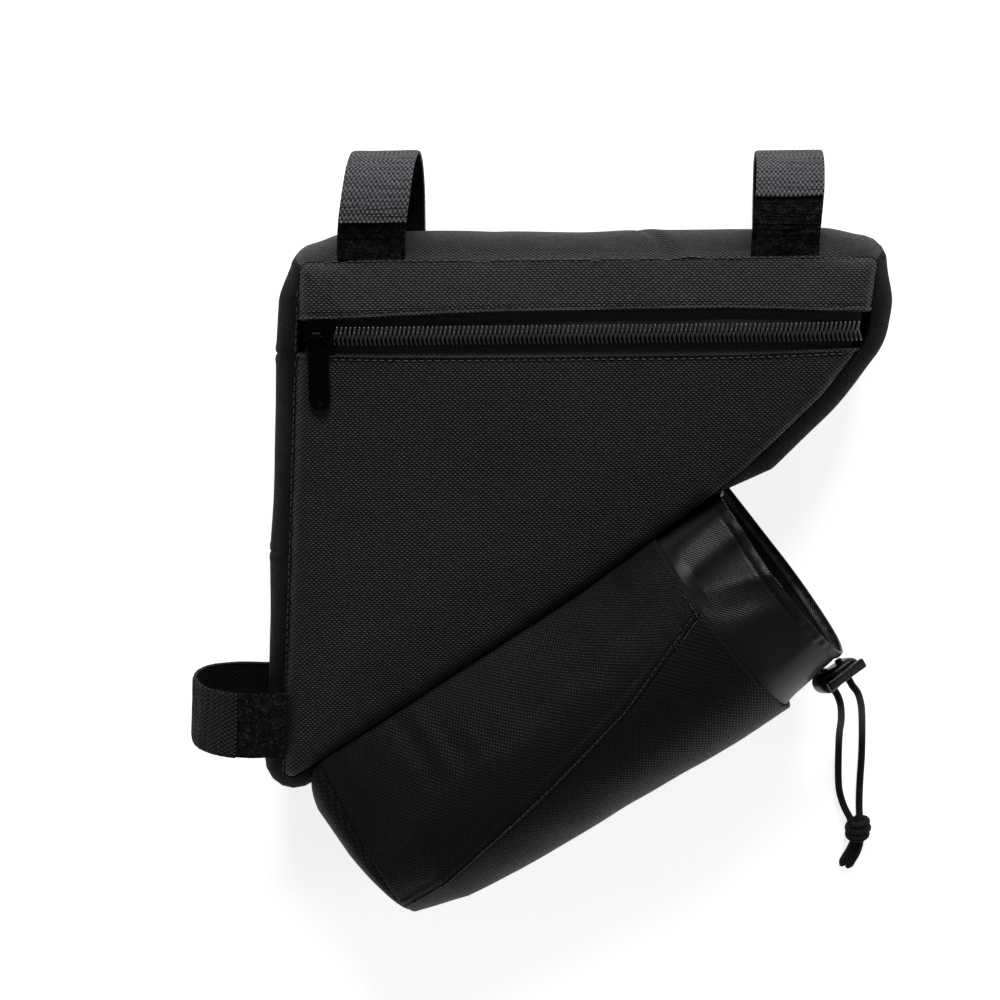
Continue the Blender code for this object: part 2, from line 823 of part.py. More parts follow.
def sleeve_ring(along, inset, wall):
    """A closed ring that lies flat against the gusset on the bag's side."""
    width, tall = pocket_half(along)
    centre_reach, centre_height = POCKET_LINE + width, tall
    width, tall = width - inset - wall, tall - inset - wall
    top = BAG_DEPTH - PANEL_WALL - inset - wall
    base = GAP + inset + wall
    front = gusset_face(along, top) + SEAM_PLAY + wall
    back = gusset_face(along, base) + SEAM_PLAY + wall
    first = tangent_angle(along, back, base, width, tall) - 2 * math.pi
    last = tangent_angle(along, front, top, width, tall)
    ring = []
    for k in range(RING_STEPS + 1):
        angle = first + (last - first) * k / RING_STEPS
        ring.append((centre_reach + width * math.cos(angle),
                     centre_height + tall * math.sin(angle)))
    touch = ring[-1]
    for k in (1, 2):
        ring.append((touch[0] + (front - touch[0]) * k / 2, touch[1] + (top - touch[1]) * k / 2))
    for k in range(1, FLAT_STEPS):
        height = top + (base - top) * k / FLAT_STEPS
        ring.append((gusset_face(along, height) + SEAM_PLAY + wall, height))
    ring.append((back, base))
    touch = ring[0]
    ring.append(((touch[0] + back) / 2, (touch[1] + base) / 2))
    return ring


def make_pocket_end(mat):
    along = POCKET_START - GAP
    vertices, faces, starts = [], [], []
    for wall in (0.0, POCKET_WALL):
        ring = sleeve_ring(along, 0.0, wall)
        sides = len(ring)
        reach = sum(q for q, _ in ring) / sides
        height = pocket_half(along)[1]
        starts.append(len(vertices))
        for lift in END_LIFTS:
            size, depth = math.cos(lift), (END_DOME - wall) * math.sin(lift)
            for q, z in ring:
                place = (reach + (q - reach) * size, height + (z - height) * size)
                vertices.append(ring_place(along, *place) - depth * Vector((*SLOPE_DIRECTION, 0)))
        tip = ring_place(along, reach, height)
        vertices.append(tip - Vector((*SLOPE_DIRECTION, 0)) * (END_DOME - wall))
        for r in range(len(END_LIFTS)):
            for c in range(sides):
                a = starts[-1] + r * sides + c
                b = starts[-1] + r * sides + (c + 1) % sides
                if r < len(END_LIFTS) - 1:
                    faces.append((a, b, b + sides, a + sides))
                else:
                    faces.append((a, b, len(vertices) - 1))
    for c in range(sides):
        n = (c + 1) % sides
        faces.append((starts[0] + c, starts[0] + n, starts[1] + n, starts[1] + c))
    return add_mesh("pocket_end_panel", vertices, faces, mat)


def collar_section(share):
    """How far along the slope and how far inside the pocket's face the collar lies."""
    mouth = POCKET_START + POCKET_LENGTH
    along = mouth - COLLAR_TUCK + (COLLAR_TUCK + COLLAR_LENGTH) * share
    inset = POCKET_WALL + COLLAR_PLAY + COLLAR_CINCH * table_value(COLLAR_SECTIONS, share, 1)
    return along, inset - HEM_BULGE * table_value(COLLAR_SECTIONS, share, 2)


def make_collar(mat):
    grids = []
    for wall in (0.0, COLLAR_WALL):
        rows = []
        for share, _, _ in COLLAR_SECTIONS:
            along, inset = collar_section(share)
            rows.append([ring_place(along, q, z) for q, z in sleeve_ring(along, inset, wall)])
        grids.append(rows)
    return wall_from_grids("pocket_collar", grids[0], grids[1], mat, closed=True)


def lock_frame():
    """The cord lock's own axes: x along it, y the way the cord leaves, z its plunger."""
    level = Vector((*SLOPE_DIRECTION, 0.0))
    level.rotate(Matrix.Rotation(LOCK_TURN, 3, "Z"))
    up = Vector((0, 0, 1))
    long_axis = level * math.cos(LOCK_TILT) - up * math.sin(LOCK_TILT)
    plunger = level * math.sin(LOCK_TILT) + up * math.cos(LOCK_TILT)
    leave = long_axis.cross(plunger)
    along, inset = collar_section(1 - LOCK_SETBACK / (COLLAR_TUCK + COLLAR_LENGTH))
    width, height = pocket_half(along)
    reach = POCKET_LINE + 2 * width - inset + GAP + LOCK_THICK / 2
    centre = ring_place(along, reach + LOCK_LENGTH / 2 * math.sin(-LOCK_TURN), height)
    return Matrix.Translation(centre) @ Matrix((long_axis, leave, plunger)).transposed().to_4x4()


def stadium(length, width, height, place, mat, sides=12):
    """An upright bar with round ends, centred on a place."""
    radius = width / 2
    ring = []
    for end in (1, -1):
        for k in range(sides // 2 + 1):
            a = -math.pi / 2 + math.pi * k / (sides // 2)
            x = end * ((length / 2 - radius) + radius * math.cos(a))
            ring.append((x, end * radius * math.sin(a)))
    rings = [[(place[0] + x, place[1] + y, place[2] + z) for x, y in ring]
             for z in (-height / 2, height / 2)]
    return sections_solid("bar", rings, mat)


def make_lock(barrel_mat, plunger_mat):
    frame = lock_frame()
    bore = CORD_DIAMETER / 2 + CORD_PLAY
    stem_length = CORD_PITCH + 2 * bore + 2 * PLUNGER_CHEEK
    stem_width = LOCK_THICK - 2 * LOCK_WALL - 2 * PLUNGER_PLAY
    well_depth = LOCK_HEIGHT - LOCK_WALL

    barrel = stadium(LOCK_LENGTH, LOCK_THICK, LOCK_HEIGHT, (0, 0, 0), barrel_mat)
    well = stadium(stem_length + 2 * PLUNGER_PLAY, stem_width + 2 * PLUNGER_PLAY, well_depth,
                   (0, 0, LOCK_HEIGHT / 2 - well_depth / 2), barrel_mat)
    combine(barrel, well, "DIFFERENCE")
    for side in (-1, 1):
        hole = add_rod(bore, LOCK_THICK * 2, (side * CORD_PITCH / 2, 0, 0), "Y", sides=12)
        combine(barrel, hole, "DIFFERENCE")
    barrel.matrix_world = frame
    finish(barrel, "cord_lock_barrel", barrel_mat)

    stem_low = -LOCK_HEIGHT / 2 + LOCK_WALL + GAP + PLUNGER_TRAVEL
    head_low = LOCK_HEIGHT / 2 + GAP + PLUNGER_TRAVEL
    stem_top = head_low + PLUNGER_HEAD / 2
    plunger = stadium(stem_length, stem_width, stem_top - stem_low,
                      (0, 0, (stem_top + stem_low) / 2), plunger_mat)
    head = stadium(LOCK_LENGTH - 2 * HEAD_INSET, LOCK_THICK - 2 * HEAD_INSET, PLUNGER_HEAD,
                   (0, 0, head_low + PLUNGER_HEAD / 2), plunger_mat)
    combine(plunger, head, "UNION")
    for side in (-1, 1):
        slot_height = 2 * bore + PLUNGER_TRAVEL
        slot = add_box((2 * bore, LOCK_THICK * 2, slot_height),
                       (side * CORD_PITCH / 2, 0, PLUNGER_TRAVEL / 2))
        combine(plunger, slot, "DIFFERENCE")
    plunger.matrix_world = frame
    finish(plunger, "cord_lock_plunger", plunger_mat)


def make_cord(name, side, route, mat):
    """One strand: from the collar's hem, through the lock, down to the knot."""
    frame = lock_frame()
    x = side * CORD_PITCH / 2
    run = [frame @ Vector((x, y, 0)) for y in
           (-LOCK_THICK / 2, 0.0, LOCK_THICK / 2, LOCK_THICK / 2 + CORD_DIAMETER)]
    knots = run + [Vector(p) for p in route]
    path = even_path(smooth_path(knots, 6), CORD_DIAMETER * 0.9)
    curve = bpy.data.curves.new(name, "CURVE")
    curve.dimensions = "3D"
    curve.bevel_depth = CORD_DIAMETER / 2
    curve.bevel_resolution = 2
    curve.use_fill_caps = True
    spline = curve.splines.new("POLY")
    spline.points.add(len(path) - 1)
    for point, place in zip(spline.points, path):
        point.co = (*place, 1.0)
    cord = bpy.data.objects.new(name, curve)
    bpy.context.scene.collection.objects.link(cord)
    curve.materials.append(mat)
    return cord


def make_knot(mat):
    path = even_path(smooth_path([Vector(p) for p in KNOT_ROUTE], 8), KNOT_SPACING)
    rings = []
    sides = 12
    for share, width, height in KNOT_SECTIONS:
        index = round(share * (len(path) - 1))
        place = path[index]
        before, after = path[max(index - 2, 0)], path[min(index + 2, len(path) - 1)]
        tangent = (after - before).normalized()
        side = tangent.cross(Vector((0, 0, 1))).normalized()
        up = side.cross(tangent)
        rings.append([
            place + side * KNOT_WIDTH / 2 * width * math.cos(a)
            + up * KNOT_WIDTH / 2 * height * math.sin(a)
            for a in (2 * math.pi * k / sides for k in range(sides))])
    return sections_solid("cord_knot", rings, mat)


def build():
    oxford = material("black_oxford", (0.018, 0.018, 0.019), 0.75)
    nylon = material("black_nylon", (0.020, 0.020, 0.022), 0.38)
    tape_mat = material("zip_tape", (0.010, 0.010, 0.010), 0.85)
    coil_mat = material("zip_coil", (0.012, 0.012, 0.012), 0.30)
    metal = material("black_enamel", (0.006, 0.006, 0.006), 0.22, 0.4)
    pile = material("pile_tape", (0.008, 0.008, 0.008), 0.95)
    hook = material("hook_tape", (0.045, 0.045, 0.050), 0.70)
    cord = material("elastic_cord", (0.014, 0.014, 0.014), 0.60)
    plastic = material("black_acetal", (0.010, 0.010, 0.010), 0.32)

    make_back_panel(oxford)
    make_gusset(oxford)
    bottom = min(point.y for point, _ in OUTLINE)
    make_front_panel("front_lower_panel", lambda x: bottom + 2 * GAP,
                     lambda x: zip_edge(x, False), 14, 12, oxford)
    make_front_panel("front_upper_panel", lambda x: zip_edge(x, True),
                     lambda x: top_edge(x), 16, 4, oxford)
    make_zip(tape_mat, coil_mat)
    make_slider(metal)
    make_pull(metal)
    for name, side, share, bare_pile, lean in STRAPS:
        make_strap(name, side, share, bare_pile, lean, pile, hook)
    make_pocket(oxford)
    make_pocket_end(oxford)
    make_collar(nylon)
    make_lock(plastic, plastic)
    make_cord("drawcord_left", -1, LEFT_ROUTE, cord)
    make_cord("drawcord_right", 1, RIGHT_ROUTE, cord)
    make_knot(cord)


build()
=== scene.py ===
import math
import bpy
import numpy as np
from mathutils import Matrix, Vector
from mathutils.bvhtree import BVHTree


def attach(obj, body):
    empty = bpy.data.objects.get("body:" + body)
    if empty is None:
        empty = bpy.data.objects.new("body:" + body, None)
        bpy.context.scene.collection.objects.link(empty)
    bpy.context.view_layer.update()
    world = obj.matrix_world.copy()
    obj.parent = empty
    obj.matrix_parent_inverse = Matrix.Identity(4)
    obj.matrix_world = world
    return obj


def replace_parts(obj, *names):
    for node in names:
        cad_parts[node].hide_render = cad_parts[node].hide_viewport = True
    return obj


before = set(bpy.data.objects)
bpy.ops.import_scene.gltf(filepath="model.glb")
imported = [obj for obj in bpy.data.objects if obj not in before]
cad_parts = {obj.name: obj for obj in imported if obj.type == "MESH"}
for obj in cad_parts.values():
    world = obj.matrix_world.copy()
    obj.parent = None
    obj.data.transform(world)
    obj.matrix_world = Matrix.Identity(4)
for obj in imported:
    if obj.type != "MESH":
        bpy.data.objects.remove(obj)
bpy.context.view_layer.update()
mm = 0.001

# camera nearly overhead, as the photo was taken
view = {"target": (0.0, 0.0, 0.054), "distance": 1.1, "tilt": 9.8, "lens": 107.03, "sensor": 36.0}

tilt = math.radians(view["tilt"])
eye = Vector(view["target"]) + view["distance"] * Vector((0, math.sin(tilt), math.cos(tilt)))
cameraData = bpy.data.cameras.new("camera")
cameraData.lens = view["lens"]
cameraData.sensor_width = view["sensor"]
cameraData.clip_end = 20.0
camera = bpy.data.objects.new("camera", cameraData)
camera.location = eye
camera.rotation_euler = (-tilt, 0, 0)
bpy.context.scene.collection.objects.link(camera)
bpy.context.scene.camera = camera
bpy.context.scene.view_settings.view_transform = "Standard"

# the bag's measures, as the frame was built with
bag = {
    "left": -73.4 * mm, "top": 87.7 * mm, "length": 212.0 * mm, "drop": 196.9 * mm, "depth": 54.0 * mm,
    "wall": 2.5 * mm, "gap": 0.3 * mm, "bulge": 8.7 * mm, "crown": 5.0 * mm, "crownReach": 45.0 * mm,
    # across, down and corner radius, as shares
    "corners": [
        (0.0000, 0.0000, 0.019), (1.0000, -0.0107, 0.014), (0.9825, 0.1432, 0.066), (0.9052, 0.2524, 0.380),
        (0.7637, 0.4022, 0.570), (0.4877, 0.6232, 1.400), (-0.0387, 1.0000, 0.014)],
    # how full the side wall stays at its sharp corners: corner, share, reach
    "pinches": [(0, 0.50, 17.0 * mm), (1, 0.60, 19.0 * mm), (6, 1.06, 9.0 * mm)],
    # where it is fuller or slacker: across, down, amount, reach
    "fuller": [
        (0.930, 0.210, 1.4 * mm, 24.0 * mm), (0.800, 0.370, 1.5 * mm, 26.0 * mm),
        (0.640, -0.005, -0.8 * mm, 40.0 * mm), (1.000, 0.080, 1.2 * mm, 12.0 * mm)],
}
zipSizes = {
    "drop": 26.7 * mm, "opening": 15.0 * mm, "tape": 16.0 * mm,
    # along, above and below shares of the opening
    "edges": [(0.00, 0.36, 0.42), (0.09, 0.40, 0.44), (0.29, 0.52, 0.46), (0.74, 0.57, 0.47), (1.00, 0.43, 0.40)],
}
pocket = {
    "start": 7.0 * mm, "length": 161.5 * mm, "width": 80.6 * mm, "height": 77.2 * mm, "standoff": 3.8 * mm,
    "collar": 28.5 * mm, "wall": 1.5 * mm, "dome": 6.4 * mm, "endSlant": 0.158, "endReach": 17.4 * mm,
    # along, size, front seam and back seam angles
    "sections": [
        (0.000, 0.728, 42, 42), (0.128, 0.812, 54, 50), (0.266, 0.857, 65, 57), (0.464, 0.902, 76, 66),
        (0.720, 0.949, 90, 74), (0.915, 0.991, 107, 80), (1.000, 1.000, 114, 82)],
}


def cornerPlace(index):
    across, down = bag["corners"][index % len(bag["corners"])][:2]
    return np.array([bag["left"] + across * bag["length"], bag["top"] - down * bag["drop"]])


def unit(vector):
    return vector / np.linalg.norm(vector)


def bell(distance, width):
    return np.exp(-(distance / width) ** 2)


def lengths(line):
    # how far each place is along its line
    return np.concatenate([[0], np.cumsum(np.linalg.norm(np.diff(line, axis=0), axis=1))])


def sampled(line, runs, at):
    return np.stack([np.interp(at, runs, line[:, k]) for k in range(line.shape[1])], axis=1)


def seamLine(spacing):
    # the front seam as an even closed line, clockwise, with its outward normals
    places, normals = [], []
    for i in range(len(bag["corners"])):
        here = cornerPlace(i)
        before, after = unit(here - cornerPlace(i - 1)), unit(cornerPlace(i + 1) - here)
        turn = math.acos(float(np.clip(before @ after, -1, 1)))
        radius = bag["corners"][i][2] * bag["length"]
        x, y = -before[1], before[0]
        centre = here - before * radius * math.tan(turn / 2) - np.array([x, y]) * radius
        for angle in -turn * np.arange(13) / 12:
            cos, sin = math.cos(angle), math.sin(angle)
            normals.append(np.array([x * cos - y * sin, x * sin + y * cos]))
            places.append(centre + normals[-1] * radius)
    places, normals = np.array(places + places[:1]), np.array(normals + normals[:1])
    runs = lengths(places)
    at = np.linspace(0, runs[-1], int(runs[-1] / spacing) + 1)[:-1]
    out = sampled(normals, runs, at)
    return sampled(places, runs, at), out / np.linalg.norm(out, axis=1, keepdims=True), at, runs[-1]


seam, seamOut, seamRun, seamTotal = seamLine(1.2 * mm)
lowCorner = cornerPlace(-1)
slopeAlong = unit(cornerPlace(2) - lowCorner)
slopeOut = np.array([slopeAlong[1], -slopeAlong[0]])
pocketLine = ((seam - lowCorner) @ slopeOut).max() + pocket["standoff"]
pocketMouth = pocket["start"] + pocket["length"]


def table(rows, share, column):
    rows = np.array(rows, float)
    return np.interp(share, rows[:, 0], rows[:, column])


def softNoise(points, size, seed):
    # smooth random values from -1 to 1, the same on every run
    lattice = np.random.default_rng(seed).uniform(-1, 1, (24, 24, 24))
    p = np.asarray(points, float) / size
    base = np.floor(p).astype(int)
    f = p - base
    f = f * f * (3 - 2 * f)
    total = 0.0
    for corner in np.ndindex(2, 2, 2):
        weight = np.prod(np.where(np.array(corner) == 1, f, 1 - f), axis=-1)
        cell = (base + np.array(corner)) % 24
        total = total + weight * lattice[cell[..., 0], cell[..., 1], cell[..., 2]]
    return total


def nearSeam(points):
    # distance to the seam line and the place along it
    flat = points.reshape(-1, 2)
    nextSeam = np.roll(seam, -1, axis=0)
    edge = nextSeam - seam
    length = (edge ** 2).sum(axis=1)
    best, run = np.full(len(flat), 1.0), np.zeros(len(flat))
    for first in range(0, len(flat), 4000):
        part = flat[first:first + 4000]
        offset = part[:, None] - seam[None]
        t = np.clip((offset * edge).sum(axis=2) / length, 0, 1)
        far = np.linalg.norm(offset - edge * t[..., None], axis=2)
        k = far.argmin(axis=1)
        best[first:first + 4000] = far[np.arange(len(part)), k]
        run[first:first + 4000] = seamRun[k]
    return best.reshape(points.shape[:-1]), run.reshape(points.shape[:-1])


def topEdge(x):
    a, b = cornerPlace(0), cornerPlace(1)
    return a[1] + (x - a[0]) * (b[1] - a[1]) / (b[0] - a[0])


def zipLine(x):
    return topEdge(x) - zipSizes["drop"]


def zipEdge(x, upper):
    share = (x - bag["left"]) / bag["length"]
    return zipLine(x) + zipSizes["opening"] * (1 if upper else -1) * table(zipSizes["edges"], share, 1 if upper else 2)


def crownHeight(points, away=None):
    away = nearSeam(points)[0] if away is None else away
    near = np.minimum(away / bag["crownReach"], 1.0)
    return bag["depth"] + bag["crown"] * (1 - (1 - near) ** 2)


# where the seam's left and right sides are at each level
levels = np.linspace(seam[:, 1].min() + 1e-5, seam[:, 1].max() - 1e-5, 1600)
following = np.roll(seam, -1, axis=0)
crossings = []
for level in levels:
    hit = (seam[:, 1] - level) * (following[:, 1] - level) <= 0
    a, b = seam[hit], following[hit]
    xs = a[:, 0] + (b[:, 0] - a[:, 0]) * (level - a[:, 1]) / (b[:, 1] - a[:, 1] + 1e-12)
    crossings.append((xs.min(), xs.max()))
crossings = np.array(crossings)


def leftEdge(y):
    return np.interp(y, levels, crossings[:, 0])


def rightEdge(y):
    return np.interp(y, levels, crossings[:, 1])


def evenUv(grid):
    # lengths across and along the surface, in metres
    u, v = (np.concatenate([[0], np.cumsum(np.linalg.norm(np.diff(grid, axis=k), axis=2).mean(axis=1 - k))])
            for k in (1, 0))
    return np.stack(np.meshgrid(u, v), axis=-1)


def clothMesh(name, vertices, faces, material, loops=None):
    mesh = bpy.data.meshes.new(name)
    mesh.from_pydata(vertices, [], faces)
    if loops is not None:
        mesh.uv_layers.new(name="cloth").data.foreach_set("uv", np.array(loops).ravel())
    mesh.materials.append(material)
    mesh.shade_smooth()
    return mesh


def placed(name, mesh):
    piece = bpy.data.objects.new(name, mesh)
    bpy.context.scene.collection.objects.link(piece)
    return piece


def clothPiece(name, grid, uv, material, closed=False, wall=0.0, inside=None, capEnd=False, lining=None):
    # a cloth surface from a grid of places, thickened inwards
    rows, columns = grid.shape[:2]
    r, c = np.meshgrid(np.arange(rows - 1), np.arange(columns if closed else columns - 1), indexing="ij")
    n = (c + 1) % columns
    corners = np.stack([r * columns + c, r * columns + n, (r + 1) * columns + n, (r + 1) * columns + c], axis=-1)
    loops = np.stack([uv[r, c], uv[r, c + 1], uv[r + 1, c + 1], uv[r + 1, c]], axis=2)
    corners, loops = corners.reshape(-1, 4), loops.reshape(-1, 4, 2)
    if inside is not None:
        a, b, d = (grid.reshape(-1, 3)[corners[:, k]] for k in (0, 1, 3))
        if (np.cross(b - a, d - a) * (a - np.array(inside))).sum() < 0:
            corners, loops = corners[:, ::-1], loops[:, ::-1]
    faces = corners.tolist()
    loopList = [pair for face in loops.tolist() for pair in face]
    vertices = grid.reshape(-1, 3).tolist()
    if capEnd:
        vertices.append(grid[-1].mean(axis=0).tolist())
        ring = [(rows - 1) * columns + k for k in range(columns)]
        step = -1 if corners[0][0] != 0 else 1
        for k in range(columns):
            pair, spots = [ring[k], ring[(k + 1) % columns]], [uv[-1, k].tolist(), uv[-1, k + 1].tolist()]
            faces.append(pair[::step] + [len(vertices) - 1])
            loopList += spots[::step] + [uv[-1, :columns].mean(axis=0).tolist()]
    piece = placed(name, clothMesh(name, vertices, faces, material, loopList))
    if wall:
        thicken(piece, wall, lining)
    return piece


def pick(piece):
    bpy.ops.object.select_all(action="DESELECT")
    piece.select_set(True)
    bpy.context.view_layer.objects.active = piece


def reshape(piece, test, operator, **settings):
    # move or scale the vertices that pass the test
    bpy.ops.object.mode_set(mode="EDIT")
    bpy.ops.mesh.select_all(action="DESELECT")
    bpy.ops.object.mode_set(mode="OBJECT")
    for vertex in piece.data.vertices:
        vertex.select = test(vertex.co)
    bpy.ops.object.mode_set(mode="EDIT")
    operator(**settings)
    bpy.ops.object.mode_set(mode="OBJECT")


def pullEnds(piece, amount):
    # draw a shape out along X, from its middle both ways
    for side in (-1, 1):
        reshape(piece, lambda co: co.x * side > 0.01 * mm, bpy.ops.transform.translate, value=(side * amount / 2, 0, 0))


def takenMesh(piece):
    # a piece's places and faces, for copies
    places = np.array([tuple(v.co) for v in piece.data.vertices])
    faces = [tuple(f.vertices) for f in piece.data.polygons]
    bpy.data.objects.remove(piece)
    return places, faces


def addCopy(vertices, faces, places, pattern):
    first = len(vertices)
    vertices += places.tolist()
    faces += [tuple(first + i for i in face) for face in pattern]


def thicken(piece, wall, lining=None):
    modifier = piece.modifiers.new("wall", "SOLIDIFY")
    if lining is not None:
        piece.data.materials.append(lining)
        modifier.material_offset = 1
    modifier.thickness = wall
    modifier.offset = -1
    modifier.use_even_offset = False
    modifier.use_quality_normals = True
    pick(piece)
    bpy.ops.object.modifier_apply(modifier=modifier.name)


# node helpers for the finishes
def startMaterial(name, colour, roughness, specular):
    material = bpy.data.materials.new(name)
    material.use_nodes = True
    shader = material.node_tree.nodes["Principled BSDF"]
    shader.inputs["Base Color"].default_value = (*colour, 1)
    shader.inputs["Roughness"].default_value = roughness
    shader.inputs["Specular IOR Level"].default_value = specular
    return material, material.node_tree, shader


def maths(tree, kind, *values):
    node = tree.nodes.new("ShaderNodeMath")
    node.operation = kind
    for socket, value in zip(node.inputs, values):
        if isinstance(value, (int, float)):
            socket.default_value = value
        else:
            tree.links.new(value, socket)
    return node.outputs[0]


def timesPlus(tree, value, factor, plus):
    return maths(tree, "MULTIPLY_ADD", value, factor, plus)


def grain(tree, size, detail=2.0, distortion=0.0):
    # soft random values from 0 to 1, fixed to the piece
    node = tree.nodes.new("ShaderNodeTexNoise")
    node.inputs["Scale"].default_value = 1 / size
    node.inputs["Detail"].default_value = detail
    node.inputs["Distortion"].default_value = distortion
    tree.links.new(tree.nodes.new("ShaderNodeTexCoord").outputs["Object"], node.inputs["Vector"])
    return node.outputs["Fac"]


def sway(tree, size, detail, amount):
    return maths(tree, "MULTIPLY", maths(tree, "SUBTRACT", grain(tree, size, detail), 0.5), amount)


def clothSpots(tree):
    # places across and along the cloth, in metres
    node, split = tree.nodes.new("ShaderNodeUVMap"), tree.nodes.new("ShaderNodeSeparateXYZ")
    node.uv_map = "cloth"
    tree.links.new(node.outputs["UV"], split.inputs[0])
    return split.outputs[0], split.outputs[1]


def dressed(start, colour, tone, shades, height, depth):
    # colour by tone, as shares of one colour, and relief by height
    material, tree, shader = start
    node = tree.nodes.new("ShaderNodeValToRGB")
    elements = node.color_ramp.elements
    while len(elements) < len(shades):
        elements.new(0.5)
    for element, (place, factor) in zip(elements, shades):
        element.position = place
        element.color = (*(v * factor for v in colour), 1)
    tree.links.new(tone, node.inputs["Fac"])
    tree.links.new(node.outputs["Color"], shader.inputs["Base Color"])
    bump = tree.nodes.new("ShaderNodeBump")
    bump.inputs["Strength"].default_value = 1.0
    bump.inputs["Distance"].default_value = depth
    tree.links.new(height, bump.inputs["Height"])
    tree.links.new(bump.outputs["Normal"], shader.inputs["Normal"])
    return material


def threadWaves(tree, warp, weft, drift):
    # how far round each thread's wave a place is, across and along the cloth
    return (maths(tree, "ADD", maths(tree, "MULTIPLY", spot, 2 * math.pi / pitch), drift)
            for spot, pitch in zip(clothSpots(tree), (warp, weft)))


def oxfordCloth(name, colour, specular=0.32, depth=0.42 * mm, warp=0.94 * mm, weft=0.82 * mm, gap=0.12, top=2.7):
    # a plain weave with uneven threads: painted shade in the gaps and a painted highlight on the thread tops
    start = startMaterial(name, colour, 0.55, specular)
    tree, shader = start[1:]
    x, y = threadWaves(tree, 2 * warp, 2 * weft, sway(tree, 9 * mm, 1.0, 1.2))
    checks = maths(tree, "MULTIPLY", maths(tree, "SINE", x), maths(tree, "SINE", y))
    rows = maths(tree, "COSINE", maths(tree, "MULTIPLY", y, 2.0))
    weave = timesPlus(tree, rows, -0.16, timesPlus(tree, checks, 0.34, 0.5))
    height = maths(tree, "ADD", sway(tree, 1.1 * mm, 3.0, 0.55), weave)
    tone = maths(tree, "ADD", sway(tree, 34 * mm, 3.0, 0.22), height)
    tree.links.new(timesPlus(tree, height, -0.62, 0.92), shader.inputs["Roughness"])
    # the gap share paints shade into the hollows between threads, the top share paints a highlight onto the thread tops
    return dressed(start, colour, tone, [(0.30, gap), (0.52, 0.85), (0.82, top)], height, depth)


def thinNylon(name, colour):
    # thin coated cloth with fine ribs on the bias, with painted shade between the ribs and a painted sheen on their
    # crests
    start = startMaterial(name, colour, 0.42, 0.26)
    tree = start[1]
    across, along = clothSpots(tree)
    bias = timesPlus(tree, along, 0.7888, maths(tree, "MULTIPLY", across, 0.6147))
    ribs = maths(tree, "SINE", maths(tree, "MULTIPLY", bias, 2 * math.pi / (0.80 * mm)))
    height = timesPlus(tree, grain(tree, 1.1 * mm), 0.6, maths(tree, "MULTIPLY", ribs, 0.25))
    return dressed(start, colour, height, [(0.05, 0.55), (0.55, 1.35)], height, 0.10 * mm)


def tapeCloth(name, colour, across, along, depth, shadeAndHighlight, specular, shine):
    start = startMaterial(name, colour, shine, specular)
    tree = start[1]
    x, y = threadWaves(tree, across, along, sway(tree, 3 * mm, 1.0, 1.6))
    lattice = maths(tree, "MULTIPLY", maths(tree, "SINE", x), maths(tree, "COSINE", y))
    height = timesPlus(tree, grain(tree, 0.7 * mm), 0.6, timesPlus(tree, lattice, 0.34, 0.2))
    # colour follows the weave's height: painted shade in its hollows, painted highlight on its raised threads
    shades = [(0.18, 1 - shadeAndHighlight), (0.5, 1), (0.85, 1 + 2.2 * shadeAndHighlight)]
    return dressed(start, colour, height, shades, height, depth)


def brushedLoops(name, colour):
    start = startMaterial(name, colour, 0.9, 0.12)
    tree = start[1]
    curls = timesPlus(tree, grain(tree, 1.5 * mm, 3.0, 2.2), 1.5, -0.45)
    height = timesPlus(tree, grain(tree, 3.4 * mm), 0.45, curls)
    # the loop tips are painted lighter and the hollows darker: painted highlight and painted shade in the pile
    return dressed(start, colour, height, [(0.32, 0.3), (0.50, 1), (0.60, 5.0), (0.76, 14)], height, 0.9 * mm)


def mouldedPlastic(name, colour, roughness, specular, coat=0.0):
    start = startMaterial(name, colour, roughness, specular)
    tree, shader = start[1:]
    shader.inputs["Coat Weight"].default_value = coat
    shader.inputs["Coat Roughness"].default_value = 0.12
    broad = grain(tree, 4 * mm)
    tree.links.new(timesPlus(tree, broad, 0.15, roughness - 0.07), shader.inputs["Roughness"])
    return dressed(start, colour, broad, [(0.3, 0.75), (0.7, 1.3)], grain(tree, 0.35 * mm, 3.0), 0.02 * mm)


def enamelMetal(name, colour):
    start = startMaterial(name, colour, 0.1, 0.12)
    tree, shader = start[1:]
    worn = grain(tree, 1.6 * mm, 3.0)
    tree.links.new(timesPlus(tree, worn, 0.14, 0.06), shader.inputs["Roughness"])
    return dressed(start, colour, worn, [(0.35, 1), (0.75, 2.2)], worn, 0.02 * mm)


def braidedCord(name, colour, pitch):
    start = startMaterial(name, colour, 0.75, 0.16)
    tree = start[1]
    x, y = (maths(tree, "MULTIPLY", spot, turns)
            for spot, turns in zip(clothSpots(tree), (2 * math.pi * 5, 2 * math.pi / pitch)))
    left, right = (maths(tree, "SINE", maths(tree, kind, x, y)) for kind in ("ADD", "SUBTRACT"))
    strands = timesPlus(tree, maths(tree, "MULTIPLY", left, right), 0.4, 0.35)
    height = timesPlus(tree, grain(tree, 0.5 * mm), 0.5, strands)
    # painted shade between the strands and a painted highlight on their crests
    return dressed(start, colour, height, [(0.25, 0.15), (0.6, 1), (0.95, 4.0)], height, 0.3 * mm)


def sewingThread(name, colour):
    start = startMaterial(name, colour, 0.42, 0.5)
    tree = start[1]
    twist = grain(tree, 0.25 * mm, 1.0)
    return dressed(start, colour, twist, [(0.3, 0.6), (0.7, 1.5)], twist, 0.05 * mm)


